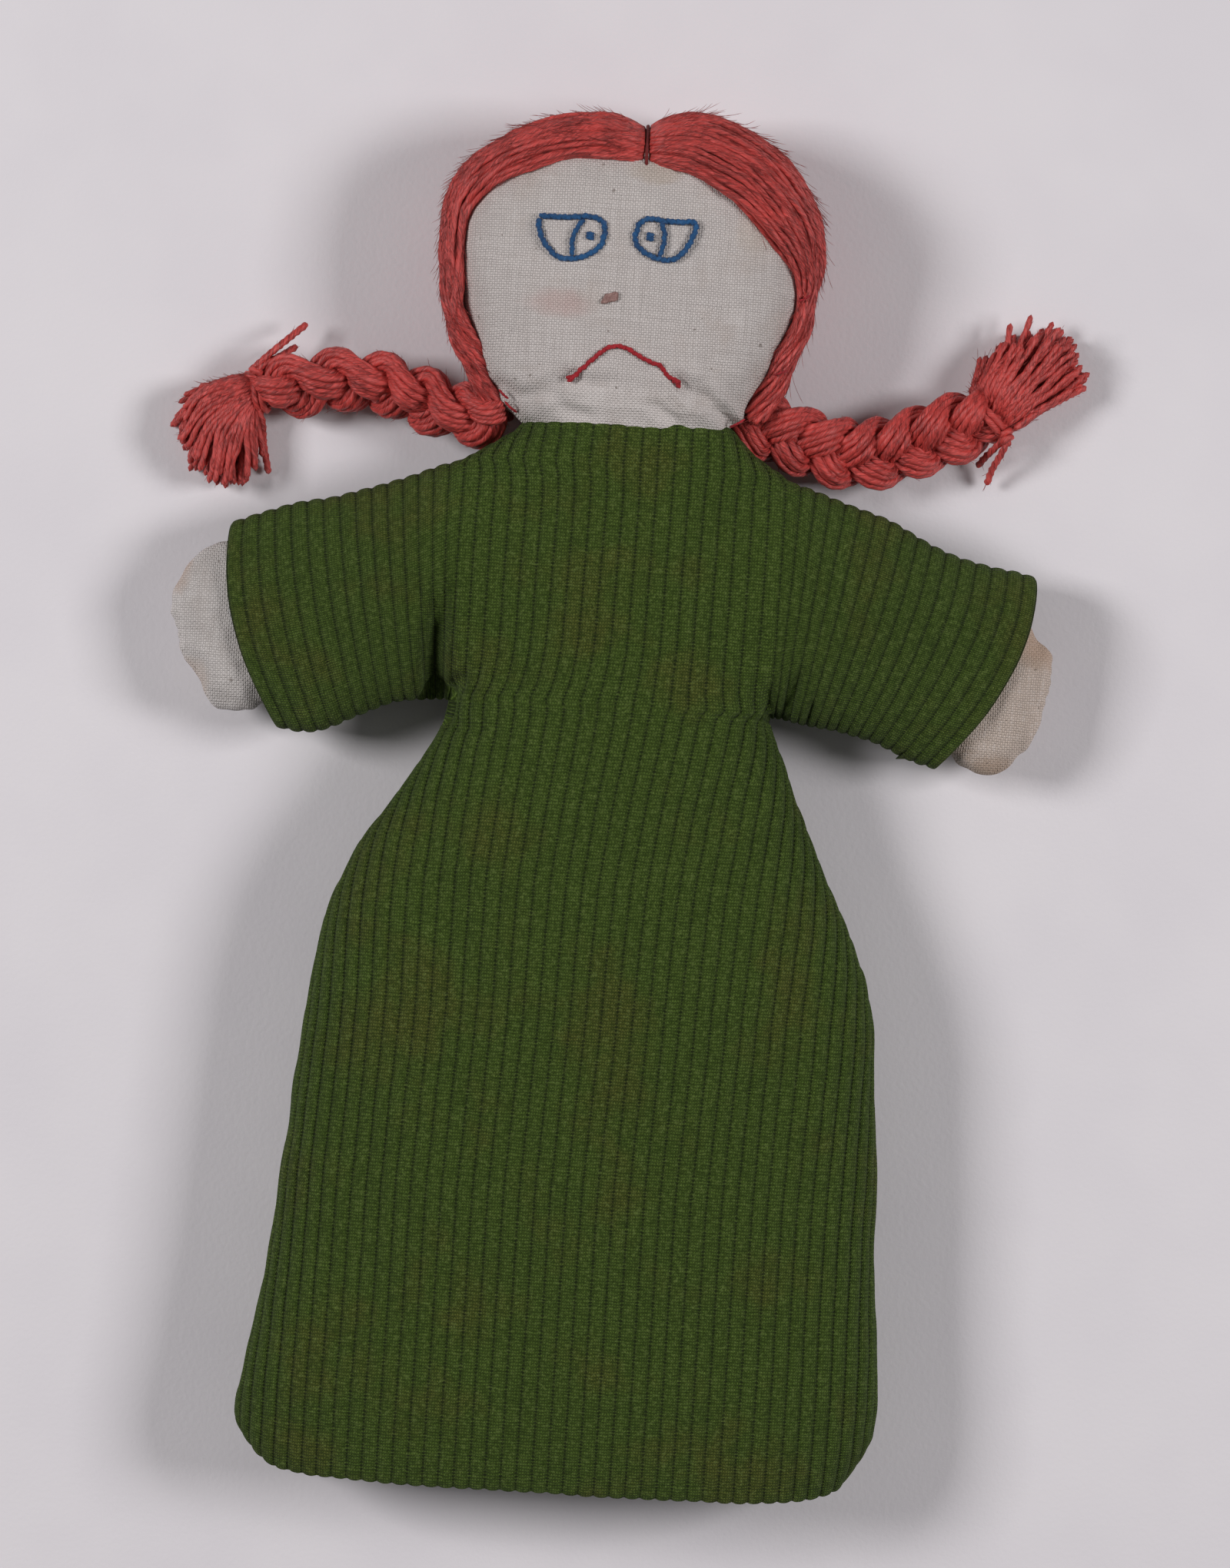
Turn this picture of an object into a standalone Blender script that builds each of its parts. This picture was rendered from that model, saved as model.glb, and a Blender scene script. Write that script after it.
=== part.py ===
"""A sewn glove puppet lying on its back: rib-knit dress, calico head and hands, plaited yarn hair.

X runs across the puppet, Y from the hem to the head and Z up out of the face. The back lies on
Z = 0. Sizes below are in millimetres and become metres where a mesh is made. Left is the side
of -X, the left of somebody who looks at the face.
"""

import math

import bmesh
import bpy
import numpy as np
from mathutils import Matrix, Vector

MM = 0.001

# Cloth, thread and the gap kept between two pieces.
KNIT = 1.5
CALICO = 0.9
GAP = 0.3
THREAD = 0.55

# The seam plane runs along the sides at this height and sinks towards the hands.
SEAM_HEIGHT = 18.0
SEAM_FLAT_TO = 42.0
SEAM_SLOPE = 0.157

# Cross-sections are superellipses, a little fuller than an ellipse.
FULLNESS = 2.2

# Dress: place along the body, half width, half depth.
DRESS = (
    (-141, 58, 16.0),
    (-136, 63, 17.0),
    (-126, 66, 17.8),
    (-80, 61.5, 18.2),
    (-38, 58, 18.2),
    (-24, 54, 17.8),
    (-8, 47.5, 17.2),
    (8, 38.6, 16.6),
    (18, 33.2, 16.2),
    (24, 32.4, 16.0),
    (50, 32.4, 14.6),
    (66, 32, 12.6),
    (71, 28.5, 11.6),
    (77, 21, 10.6),
)
BACK_FLATTENED = 1.16
HEM_TURNING = 13.0
HEM_TURNING_WALL = 1.1
HEM_SET_IN = 0.5

# The stitches of a side seam run between these places, this many points to a line.
SIDE_SEAM_FROM = -124.0
SIDE_SEAM_TO = 12.0
SIDE_SEAM_POINTS = 18

# Sleeve: upper edge (x, y), lower edge (x, y), half depth.
SLEEVE = (
    ((12, 66), (12, 24), 10.5),
    ((33, 69.5), (33, 21.5), 12.2),
    ((45, 66), (44, 21), 12.0),
    ((57, 62.5), (55, 18.6), 11.6),
    ((70, 58.8), (62, 16.2), 11.2),
    ((84.5, 55.5), (68.5, 14.5), 10.4),
)
ARMHOLE_INNER = 33.0
ARMHOLE_OUTER = 56.0
UNDERARM = 19.0
ARM_CLEARS_SKIRT = 46.0
ARM_LOWEST = 8.0

# Hand: place past the cuff, half width along the cuff, half depth.
HAND = (
    (-9, 17.4, 8.0),
    (0, 18, 8.3),
    (5, 17.6, 8.0),
    (9, 15.5, 6.8),
    (12, 11.5, 5.0),
    (14, 5, 2.4),
)

# Head and its hair: place along the body, half width, half depth.
HEAD = (
    (84, 19, 9.0),
    (86.5, 25.5, 12.5),
    (93, 32, 15.0),
    (101, 35.5, 16.4),
    (112, 37.6, 17.0),
    (122, 36.8, 16.8),
    (130, 32, 15.2),
    (136, 24.5, 12.2),
    (139.5, 16, 8.6),
    (141.5, 6, 3.6),
)
HAIR = (
    (90, 33.5, 15.6),
    (96, 38, 17.8),
    (104, 41, 19.2),
    (112, 42.2, 19.6),
    (120, 42, 19.6),
    (128, 39, 18.8),
    (135, 33, 16.8),
    (141, 25, 13.6),
    (145, 15.5, 9.4),
    (147.3, 6, 4.4),
)
HEAD_BACK_FLATTENED = 0.9
PARTING = 0.5
PARTING_PLACES = (137, 141, 145)
PARTING_OVER_CROWN = (0.9, 0, -0.9)
PARTING_POINTS = 16
NECK = ((66, 17.4, 8.0), (77, 17.8, 8.2), (83.7, 18.6, 8.7))
NECK_SEAM_POINTS = 24
STUFFING_FROM = 114.0
STUFFING_TO = 138.5

# The opening in the hair round the face: middle, half width, crown and chin.
FACE_MIDDLE = (-1.3, 106.0)
FACE_HALF_WIDTH = 34.7
FACE_CROWN = 29.7
FACE_CHIN_HALF_WIDTH = 25.0
FACE_OPENING_STEPS = 16
FACE_OPENING_ABOVE_SEAM = 2.0

# Embroidered eyes: left edge, right edge, top and depth; then iris arc and pupil. The lid lies this
# share of the depth above the eye's corners, and the powers round its corners and its bowl.
EYES = {
    "left": (
        (-21.0, -7.1, 123.7, 9.1),
        ((-11.9, 123), (-13.5, 119.6), (-13.9, 115.8)),
        (-10.1, 119.8),
    ),
    "right": (
        (-0.6, 12.0, 124.1, 8.3),
        ((4.3, 123.4), (5.4, 120.4), (4.5, 116.8)),
        (2.4, 120.4),
    ),
}
EYE_LID_SHARE = 0.12
EYE_CORNER_POWER = 0.75
EYE_LID_POWER = 0.5
EYE_BOWL_POWER = 0.9
EYE_STEPS = 20
IRIS_STEPS = 7
IRIS_CLEAR_ACROSS = 0.84
IRIS_CLEAR_UP = 0.72
PUPIL_SIZE = (0.9, 0.9, 0.6)
MOUTH = ((-12.2, 89.8), (-8.6, 93.6), (-4.1, 97.2), (0.6, 96.2), (6.3, 93.8), (9.5, 91.1))
NOSE_AT = (-5.1, 107.3)
NOSE_SIZE = (2.0, 1.1, 0.7)

# Plaits: the middle line, from the jaw to the tie.
PLAIT_RADIUS = 6.3
PLAIT_NECK = 2.8
PLAITS = {
    "left": (
        (-34.5, 82.5, 14.5), (-41, 82, 12), (-47, 84.5, 9.5), (-54, 86.8, 7.5),
        (-61, 87, 6.8), (-68, 85.6, 6.8), (-73, 83.8, 6.4), (-78.5, 84.4, 5),
    ),
    "right": (
        (34.5, 82, 14.5), (41, 78.4, 12), (48, 76.8, 9.5), (55, 78.2, 7.5),
        (62, 81.2, 6.8), (69, 84.4, 6.8), (73.5, 86.2, 6.4), (78.5, 87.2, 5),
    ),
}

# A plait swells and narrows a little at each crossing, which takes this many steps of its line, and
# tapers to its two ends.
PLAIT_CROSSINGS = 9
PLAIT_STEPS = 4
PLAIT_SWELL = 0.05
PLAIT_ROOT_SHARE = 0.6
PLAIT_ROOT_STEP = 0.2
PLAIT_TAPER_STEPS = 6
PLAIT_NECK_SHARE = 0.35

# The yarn round the plait's end: ring, yarn, place before the plait's end, and steps round each.
TIE_RADIUS = 4.3
TIE_YARN = 1.1
TIE_BEFORE_END = 1.4
TIE_STEPS = 20
TIE_YARN_STEPS = 8

# Tassels: middle line, with the half width at each place.
TASSELS = {
    "left": (
        (-81.6, 83, 2.0),
        (-83.6, 80.4, 5.2),
        (-85.4, 75, 7.6),
        (-86.4, 69.5, 7.0),
        (-86.5, 64, 3.4),
    ),
    "right": (
        (81.4, 89.2, 2.0),
        (82.4, 92.4, 4.8),
        (84, 97, 7.0),
        (86.5, 102.5, 6.6),
        (88.6, 107, 3.2),
    ),
}
TASSEL_HALF_DEPTH = (2.6, 2.3, 2.0, 1.8, 1.2)
TASSEL_ROOT_HEIGHT = 5.0
TASSEL_FALL = 1.2
TASSEL_STEPS = 14

# Thread tacks that hold the hair: where each crosses it.
TACKS = {
    "left_jaw_tack": ((-35.5, 96.5), (-38.5, 93.6)),
    "right_cheek_tack": ((35.5, 108.6), (39.3, 111.0)),
    "right_jaw_tack": ((32.0, 96.0), (35.0, 93.4)),
}

TACK_STEPS = 4

# Pivots.
NECK_PIVOT = (0, 80, 18)
LIFT_PIVOT = (36, 43, 18)
FOLD_PIVOT = (50, 40, 16.7)
PLAIT_PIVOT = (31, 86, 15)

# Length that passes every piece, how far a cutter runs past an open end, and the distance under
# which points are one.
REACH = 200.0
OVERLAP = 3.0
WELD = 0.002

# Distance over which a surface's slope is read.
SLOPE_STEP = 0.5

# Corners of a ring round each shape.
BODY_SIDES = 32
HAIR_SIDES = 28
HEAD_SIDES = 28
STUFFING_SIDES = 20
SLEEVE_SIDES = 28
HAND_SIDES = 24

COLOURS = {
    "green_knit": ((0.060, 0.095, 0.018), 0.95),
    "calico": ((0.55, 0.51, 0.45), 0.9),
    "pink_yarn": ((0.48, 0.10, 0.075), 0.92),
    "blue_thread": ((0.012, 0.14, 0.36), 0.6),
    "red_thread": ((0.45, 0.012, 0.03), 0.6),
    "brown_thread": ((0.30, 0.13, 0.11), 0.7),
    "green_thread": ((0.03, 0.05, 0.015), 0.7),
    "wadding": ((0.80, 0.79, 0.76), 1.0),
}


def clear_scene():
    for leftover in list(bpy.data.objects):
        bpy.data.objects.remove(leftover)


def make_materials():
    made = {}
    for name, (colour, roughness) in COLOURS.items():
        material = bpy.data.materials.new(name)
        material.use_nodes = True
        shader = material.node_tree.nodes["Principled BSDF"]
        shader.inputs["Base Color"].default_value = (*colour, 1)
        shader.inputs["Roughness"].default_value = roughness
        shader.inputs["Metallic"].default_value = 0
        made[name] = material
    return made


def seam_height(x):
    """Height of the seam between front and back at this distance from the body's middle."""
    return SEAM_HEIGHT - SEAM_SLOPE * max(0.0, abs(x) - SEAM_FLAT_TO)


def unit_superellipse(count):
    """Points of a superellipse with half width and half depth of 1."""
    power = 2 / FULLNESS
    points = []
    for step in range(count):
        angle = 2 * math.pi * step / count
        across, up = math.cos(angle), math.sin(angle)
        x = math.copysign(abs(across) ** power, across)
        y = math.copysign(abs(up) ** power, up)
        points.append((x, y))
    return points


def body_rings(stations, inset=0.0, flattened=1.0, floor=-REACH, count=BODY_SIDES):
    """One ring for each station of a shape that runs along Y."""
    rings = []
    for along, width, depth in stations:
        ring = []
        for across, up in unit_superellipse(count):
            reach = (depth if up >= 0 else depth * flattened) - inset
            ring.append((across * (width - inset), along, max(SEAM_HEIGHT + up * reach, floor)))
        rings.append(ring)
    return rings


def slanted_ring(middle, along, width, depth, count):
    """A ring in the upright plane through the line 'along', bent with the seam's height."""
    ring = []
    for across, up in unit_superellipse(count):
        place = middle + along * across * width
        ring.append((place.x, place.y, seam_height(place.x) + up * depth))
    return ring


def loft(name, rings):
    """A closed body through rings of equal count."""
    mesh = bpy.data.meshes.new(name)
    body = bmesh.new()
    loops = [[body.verts.new(Vector(point) * MM) for point in ring] for ring in rings]
    for first, second in zip(loops, loops[1:]):
        for step in range(len(first)):
            after = (step + 1) % len(first)
            body.faces.new((first[step], first[after], second[after], second[step]))
    body.faces.new(loops[0])
    body.faces.new(loops[-1])
    bmesh.ops.recalc_face_normals(body, faces=body.faces)
    bmesh.ops.triangulate(body, faces=body.faces)
    body.to_mesh(mesh)
    body.free()
    return add_object(name, mesh)


def prism(name, outline, low, high, upright="z"):
    """An outline in the XY plane pulled along Z or, with upright 'y', one in XZ along Y."""
    rings = []
    for end in (low, high):
        rings.append([(u, v, end) if upright == "z" else (u, end, v) for u, v in outline])
    return loft(name, rings)


def add_object(name, data):
    made = bpy.data.objects.new(name, data)
    bpy.context.scene.collection.objects.link(made)
    return made


def copy_of(source, name):
    made = source.copy()
    made.data = source.data.copy()
    made.name = name
    bpy.context.scene.collection.objects.link(made)
    return made


def combine(body, operation, *tools):
    """Joins each tool to the body, or cuts with it, and removes the tools."""
    for tool in tools:
        modifier = body.modifiers.new(operation, "BOOLEAN")
        modifier.operation = operation
        modifier.solver = "EXACT"
        modifier.object = tool
    graph = bpy.context.evaluated_depsgraph_get()
    mesh = bpy.data.meshes.new_from_object(body.evaluated_get(graph))
    body.modifiers.clear()
    body.data = mesh
    weld(mesh)
    for tool in tools:
        bpy.data.objects.remove(tool)


def weld(mesh):
    """Joins points that a Boolean left almost together."""
    body = bmesh.new()
    body.from_mesh(mesh)
    bmesh.ops.remove_doubles(body, verts=body.verts, dist=WELD * MM)
    bmesh.ops.dissolve_degenerate(body, edges=body.edges, dist=WELD * MM)
    body.to_mesh(mesh)
    body.free()


def shell_minus(name, outer, inner):
    combine(outer, "DIFFERENCE", inner)
    outer.name = name
    return outer


def seam_half(side):
    """All that lies in front of the seam plane, or behind it."""
    up = side == "front"
    edge = GAP / 2 if up else -GAP / 2
    far = REACH if up else -REACH
    corners = (-REACH, -SEAM_FLAT_TO, SEAM_FLAT_TO, REACH)
    outline = [(x, seam_height(x) + edge) for x in corners]
    outline += [(REACH, far), (-REACH, far)]
    return prism("half", outline, -REACH, REACH, upright="y")


def side_slab(start, end, low, high):
    """A block from x = start to end and y = low to high, through everything."""
    outline = [(start, low), (end, low), (end, high), (start, high)]
    return prism("slab", outline, -REACH, REACH)


def arm_slab(side, inner, outer, gap):
    """All of an arm between two distances from the middle, and nothing of the skirt below it."""
    outline = [
        (side * inner, UNDERARM + gap),
        (side * ARM_CLEARS_SKIRT, UNDERARM + gap),
        (side * ARM_CLEARS_SKIRT, ARM_LOWEST),
        (side * outer, ARM_LOWEST),
        (side * outer, REACH),
        (side * inner, REACH),
    ]
    return prism("arm_slab", outline, -REACH, REACH)


def thread(name, points, radius, closed=False, sides=1):
    """A round thread or cord along its points, given in millimetres."""
    curve = bpy.data.curves.new(name, "CURVE")
    curve.dimensions = "3D"
    curve.bevel_depth = radius * MM
    curve.bevel_resolution = sides
    curve.use_fill_caps = True
    spline = curve.splines.new("POLY")
    spline.points.add(len(points) - 1)
    for target, point in zip(spline.points, points):
        target.co = (*(Vector(point) * MM), 1)
    spline.use_cyclic_u = closed
    return add_object(name, curve)


def smooth_line(points, count):
    """Places read at even steps from a smooth curve through the points."""
    knots = [Vector(p) for p in points]
    knots = [2 * knots[0] - knots[1], *knots, 2 * knots[-1] - knots[-2]]
    found = []
    for step in range(count):
        place = step / (count - 1) * (len(points) - 1)
        part = min(int(place), len(points) - 2)
        t = place - part
        a, b, c, d = knots[part : part + 4]
        slope = c - a
        bend = 2 * a - 5 * b + 4 * c - d
        twist = 3 * b - a - 3 * c + d
        found.append(0.5 * (2 * b + slope * t + bend * t**2 + twist * t**3))
    return found


def surface_height(stations, x, y):
    """Height of the front of a body made from these stations."""
    places, widths, depths = zip(*stations)
    width = np.interp(y, places, widths)
    depth = np.interp(y, places, depths)
    left = max(0.0, 1 - min(1.0, abs(x) / width) ** FULLNESS)
    return SEAM_HEIGHT + depth * left ** (1 / FULLNESS)


def on_surface(stations, flat_points, radius):
    """Flat points laid on the front of a body, clear of it by the usual gap on any slope."""
    step = SLOPE_STEP
    laid = []
    for x, y in flat_points:
        height = surface_height(stations, x, y)
        rise_x = surface_height(stations, x + step, y) - surface_height(stations, x - step, y)
        rise_y = surface_height(stations, x, y + step) - surface_height(stations, x, y - step)
        lean = math.hypot(1, rise_x / (2 * step), rise_y / (2 * step))
        laid.append((x, y, height + (GAP + radius) * lean))
    return laid


def make_dress_shell():
    """The whole knitted dress as one wall, before it is cut into its pieces."""
    outer = loft("dress", body_rings(DRESS, 0, BACK_FLATTENED, floor=0))
    longer = [
        (DRESS[0][0] - OVERLAP, *DRESS[0][1:]),
        *DRESS[1:-1],
        (DRESS[-1][0] + OVERLAP, *DRESS[-1][1:]),
    ]
    inner = loft("dress_inside", body_rings(longer, KNIT, BACK_FLATTENED, floor=KNIT))
    for side in (-1, 1):
        combine(outer, "UNION", loft("sleeve", sleeve_rings(side, 0)))
        combine(inner, "UNION", loft("sleeve_inside", sleeve_rings(side, KNIT)))
    return shell_minus("dress", outer, inner)


def sleeve_rings(side, inset):
    """Rings of a sleeve. An inset one is longer, so that it opens the cuff."""
    rings = []
    for upper, lower, depth in SLEEVE:
        top = Vector((side * upper[0], upper[1]))
        bottom = Vector((side * lower[0], lower[1]))
        half = (top - bottom) / 2
        middle = bottom + half
        width = half.length - inset
        rings.append(slanted_ring(middle, half.normalized(), width, depth - inset, SLEEVE_SIDES))
    if inset:
        step = cuff_frame(side)[2] * OVERLAP
        rings[-1] = [(x + step.x, y + step.y, z) for x, y, z in rings[-1]]
    return rings


def cuff_frame(side):
    """Middle of the cuff, the direction along it and the direction out of it."""
    upper, lower, _ = SLEEVE[-1]
    top = Vector((side * upper[0], upper[1]))
    bottom = Vector((side * lower[0], lower[1]))
    along = (top - bottom).normalized()
    out = Vector((along.y, -along.x)) * side
    return (top + bottom) / 2, along, out


def cut_dress(shell):
    """Front and back panels, two armholes and the front and back of each sleeve."""
    pieces = {}
    for half in ("front", "back"):
        panel = copy_of(shell, f"dress_{half}")
        for side in (-1, 1):
            combine(panel, "DIFFERENCE", arm_slab(side, ARMHOLE_INNER - GAP / 2, REACH, 0))
        combine(panel, "INTERSECT", seam_half(half))
        pieces[panel.name] = panel
    for word, side in (("left", -1), ("right", 1)):
        armhole = copy_of(shell, f"{word}_armhole")
        combine(armhole, "INTERSECT", arm_slab(side, ARMHOLE_INNER + GAP / 2, ARMHOLE_OUTER, GAP))
        pieces[armhole.name] = armhole
        for half in ("front", "back"):
            sleeve = copy_of(shell, f"{word}_sleeve_{half}")
            ends = sorted((side * (ARMHOLE_OUTER + GAP), side * REACH))
            combine(sleeve, "INTERSECT", side_slab(*ends, ARM_LOWEST, REACH))
            combine(sleeve, "INTERSECT", seam_half(half))
            pieces[sleeve.name] = sleeve
    bpy.data.objects.remove(shell)
    return pieces


def make_hem_turning():
    """The strip of knit turned up inside the hem."""
    inset = KNIT + GAP
    edge = DRESS[0][0]
    stations = [(edge + HEM_SET_IN, *DRESS[0][1:]), DRESS[1], between(DRESS, edge + HEM_TURNING)]
    outer = loft("hem_turning", body_rings(stations, inset, BACK_FLATTENED, floor=inset))
    end = between(DRESS, edge + HEM_TURNING + OVERLAP)
    longer = [(edge - OVERLAP, *DRESS[0][1:]), DRESS[1], end]
    inset += HEM_TURNING_WALL
    inner = loft("hem_inside", body_rings(longer, inset, BACK_FLATTENED, floor=inset))
    return shell_minus("hem_turning", outer, inner)


def between(stations, place):
    places, widths, depths = zip(*stations)
    return (place, float(np.interp(place, places, widths)), float(np.interp(place, places, depths)))


def make_side_seam(word, side):
    """The line of stitches that joins front to back, just inside the side seam."""
    points = []
    for place in np.linspace(SIDE_SEAM_FROM, SIDE_SEAM_TO, SIDE_SEAM_POINTS):
        width = between(DRESS, place)[1] - KNIT - GAP - 2 * THREAD
        points.append((side * width, place, seam_height(width)))
    return thread(f"{word}_side_seam", points, THREAD)


def make_neck_seam():
    """The ring of stitches that holds the dress to the neck."""
    _, width, depth = NECK[1]
    clear = 2 * GAP + THREAD
    place = DRESS[-1][0] + GAP + 2 * THREAD
    points = [
        ((width + clear) * across, place, SEAM_HEIGHT + (depth + clear) * up)
        for across, up in unit_superellipse(NECK_SEAM_POINTS)
    ]
    return thread("neck_seam", points, THREAD, closed=True)


def make_neck_cloth():
    """The calico tube that joins the head to the dress."""
    outer = loft("neck_cloth", body_rings(NECK, 0, count=HEAD_SIDES))
    longer = [
        (NECK[0][0] - OVERLAP, *NECK[0][1:]),
        NECK[1],
        (NECK[-1][0] + OVERLAP, *NECK[-1][1:]),
    ]
    inner = loft("inside", body_rings(longer, CALICO, count=HEAD_SIDES))
    return shell_minus("neck_cloth", outer, inner)


def make_head():
    """The calico front and back of the head, open at the neck."""
    outer = loft("head", body_rings(HEAD, 0, HEAD_BACK_FLATTENED, count=HEAD_SIDES))
    shorter = [
        (HEAD[0][0] - OVERLAP, *HEAD[0][1:]),
        *HEAD[:-1],
        (HEAD[-1][0] - CALICO, *HEAD[-1][1:]),
    ]
    inner = loft("inside", body_rings(shorter, CALICO, HEAD_BACK_FLATTENED, count=HEAD_SIDES))
    head = shell_minus("head", outer, inner)
    pieces = []
    for half in ("front", "back"):
        piece = copy_of(head, f"head_{half}")
        combine(piece, "INTERSECT", seam_half(half))
        pieces.append(piece)
    bpy.data.objects.remove(head)
    return pieces


def make_stuffing():
    """Wadding in the crown of the head, above the finger's pocket."""
    inset = CALICO + GAP
    inside = [s for s in HEAD if STUFFING_FROM < s[0] < STUFFING_TO]
    stations = [between(HEAD, STUFFING_FROM), *inside, between(HEAD, STUFFING_TO)]
    rings = body_rings(stations, inset, HEAD_BACK_FLATTENED, count=STUFFING_SIDES)
    return loft("head_stuffing", rings)


def make_face_opening():
    """A cutter that opens the front of the hair round the face."""
    middle_x, middle_y = FACE_MIDDLE
    outline = []
    for step in range(FACE_OPENING_STEPS + 1):
        angle = math.pi * step / FACE_OPENING_STEPS
        across = FACE_HALF_WIDTH * math.cos(angle)
        up = FACE_CROWN * math.sin(angle)
        outline.append((middle_x + across, middle_y + up))
    chin = HAIR[0][0] - OVERLAP
    outline += [(middle_x - FACE_CHIN_HALF_WIDTH, chin), (middle_x + FACE_CHIN_HALF_WIDTH, chin)]
    return prism("face_opening", outline, SEAM_HEIGHT + FACE_OPENING_ABOVE_SEAM, REACH)


def make_hair():
    """Two hanks of yarn round the crown, back and sides of the head, parted in the middle."""
    outer = loft("hair", body_rings(HAIR, 0, 1.0, floor=0, count=HAIR_SIDES))
    grown = [
        (HEAD[0][0] - OVERLAP, *HEAD[0][1:]),
        *HEAD[:-1],
        (HEAD[-1][0] + GAP, *HEAD[-1][1:]),
    ]
    inner = loft("inside", body_rings(grown, -GAP, HEAD_BACK_FLATTENED, count=HAIR_SIDES))
    hair = shell_minus("hair", outer, inner)
    combine(hair, "DIFFERENCE", make_face_opening())
    pieces = []
    for word, side in (("left", -1), ("right", 1)):
        piece = copy_of(hair, f"{word}_hair")
        ends = sorted((PARTING + side * GAP / 2, side * REACH))
        combine(piece, "INTERSECT", side_slab(*ends, -REACH, REACH))
        pieces.append(piece)
    bpy.data.objects.remove(hair)
    return pieces


def make_parting_stitch():
    """Stitches along the parting, from the forehead over the crown."""
    clear = GAP + THREAD
    points = [(PARTING, y, surface_height(HAIR, 0, y) + clear) for y in PARTING_PLACES]
    crown, _, depth = HAIR[-1]
    for share in PARTING_OVER_CROWN:
        points.append((PARTING, crown + clear, SEAM_HEIGHT + share * depth))
    return thread("parting_stitch", smooth_line(points, PARTING_POINTS), THREAD)


def make_tack(name, ends):
    """A short red stitch over a hank of hair."""
    first, last = (Vector(end) for end in ends)
    flat = [first.lerp(last, step / TACK_STEPS) for step in range(TACK_STEPS + 1)]
    return thread(name, on_surface(HAIR, [tuple(p) for p in flat], THREAD), THREAD)


def eye_outline(left, right, top, depth):
    """A half-round eye: a flat lid with rounded corners above a bowl."""
    half = (right - left) / 2
    middle = (left + right) / 2
    points = []
    for step in range(EYE_STEPS):
        angle = 2 * math.pi * step / EYE_STEPS
        across, up = math.cos(angle), math.sin(angle)
        x = middle + half * math.copysign(abs(across) ** EYE_CORNER_POWER, across)
        if up >= 0:
            share = EYE_LID_SHARE * up**EYE_LID_POWER
        else:
            share = (EYE_LID_SHARE - 1) * abs(up) ** EYE_BOWL_POWER
        points.append((x, top - depth * (EYE_LID_SHARE - share)))
    return points


def make_eye(word, outline, iris, pupil):
    """The lid and bowl, the iris's inner edge, drawn in so that its ends clear the lid, and the pupil."""
    left, right, top, depth = outline
    lid_points = on_surface(HEAD, eye_outline(left, right, top, depth), THREAD)
    lid = thread(f"{word}_eye_outline", lid_points, THREAD, closed=True)
    middle_x = (left + right) / 2
    middle_y = top - depth / 2
    inner = []
    for x, y in iris:
        drawn_x = middle_x + (x - middle_x) * IRIS_CLEAR_ACROSS
        drawn_y = middle_y + (y - middle_y) * IRIS_CLEAR_UP
        inner.append((drawn_x, drawn_y, 0))
    arc = [(p.x, p.y) for p in smooth_line(inner, IRIS_STEPS)]
    ring = thread(f"{word}_iris", on_surface(HEAD, arc, THREAD), THREAD)
    dot = small_ellipsoid(f"{word}_pupil", pupil, PUPIL_SIZE)
    return [lid, ring, dot]


def small_ellipsoid(name, place, size):
    mesh = bpy.data.meshes.new(name)
    body = bmesh.new()
    bmesh.ops.create_uvsphere(body, u_segments=10, v_segments=6, radius=MM)
    bmesh.ops.scale(body, vec=size, verts=body.verts)
    height = surface_height(HEAD, *place) + size[2] + GAP
    bmesh.ops.translate(body, vec=Vector((*place, height)) * MM, verts=body.verts)
    body.to_mesh(mesh)
    body.free()
    return add_object(name, mesh)


def make_hand(word, side):
    """The calico front and back of a hand, sewn inside the cuff."""
    middle, along, out = cuff_frame(side)
    longer = [
        (HAND[0][0] - OVERLAP, *HAND[0][1:]),
        *HAND[1:-1],
        (HAND[-1][0] - CALICO, *HAND[-1][1:]),
    ]
    walls = []
    for stations, inset in ((HAND, 0), (longer, CALICO)):
        rings = [
            slanted_ring(middle + out * place, along, width - inset, depth - inset, HAND_SIDES)
            for place, width, depth in stations
        ]
        walls.append(loft("hand", rings))
    hand = shell_minus("hand", *walls)
    pieces = []
    for half in ("front", "back"):
        piece = copy_of(hand, f"{word}_hand_{half}")
        combine(piece, "INTERSECT", seam_half(half))
        pieces.append(piece)
    bpy.data.objects.remove(hand)
    return pieces


def make_plait(word):
    """A three-strand plait as one cord that swells at each crossing and narrows under its tie."""
    count = PLAIT_STEPS * PLAIT_CROSSINGS + 1
    line = smooth_line(PLAITS[word], count)
    made = thread(f"{word}_plait", line, PLAIT_RADIUS, sides=2)
    neck = PLAIT_NECK / PLAIT_RADIUS
    for step, point in enumerate(made.data.splines[0].points):
        swell = 1 - PLAIT_SWELL * (1 - math.cos(2 * math.pi * step / PLAIT_STEPS))
        left = (count - 1 - step) / PLAIT_TAPER_STEPS
        tapered = neck + (swell - neck) * max(0.0, left - PLAIT_NECK_SHARE)
        root = PLAIT_ROOT_SHARE + PLAIT_ROOT_STEP * step
        point.radius = min(swell, tapered, root)
    return made


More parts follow.
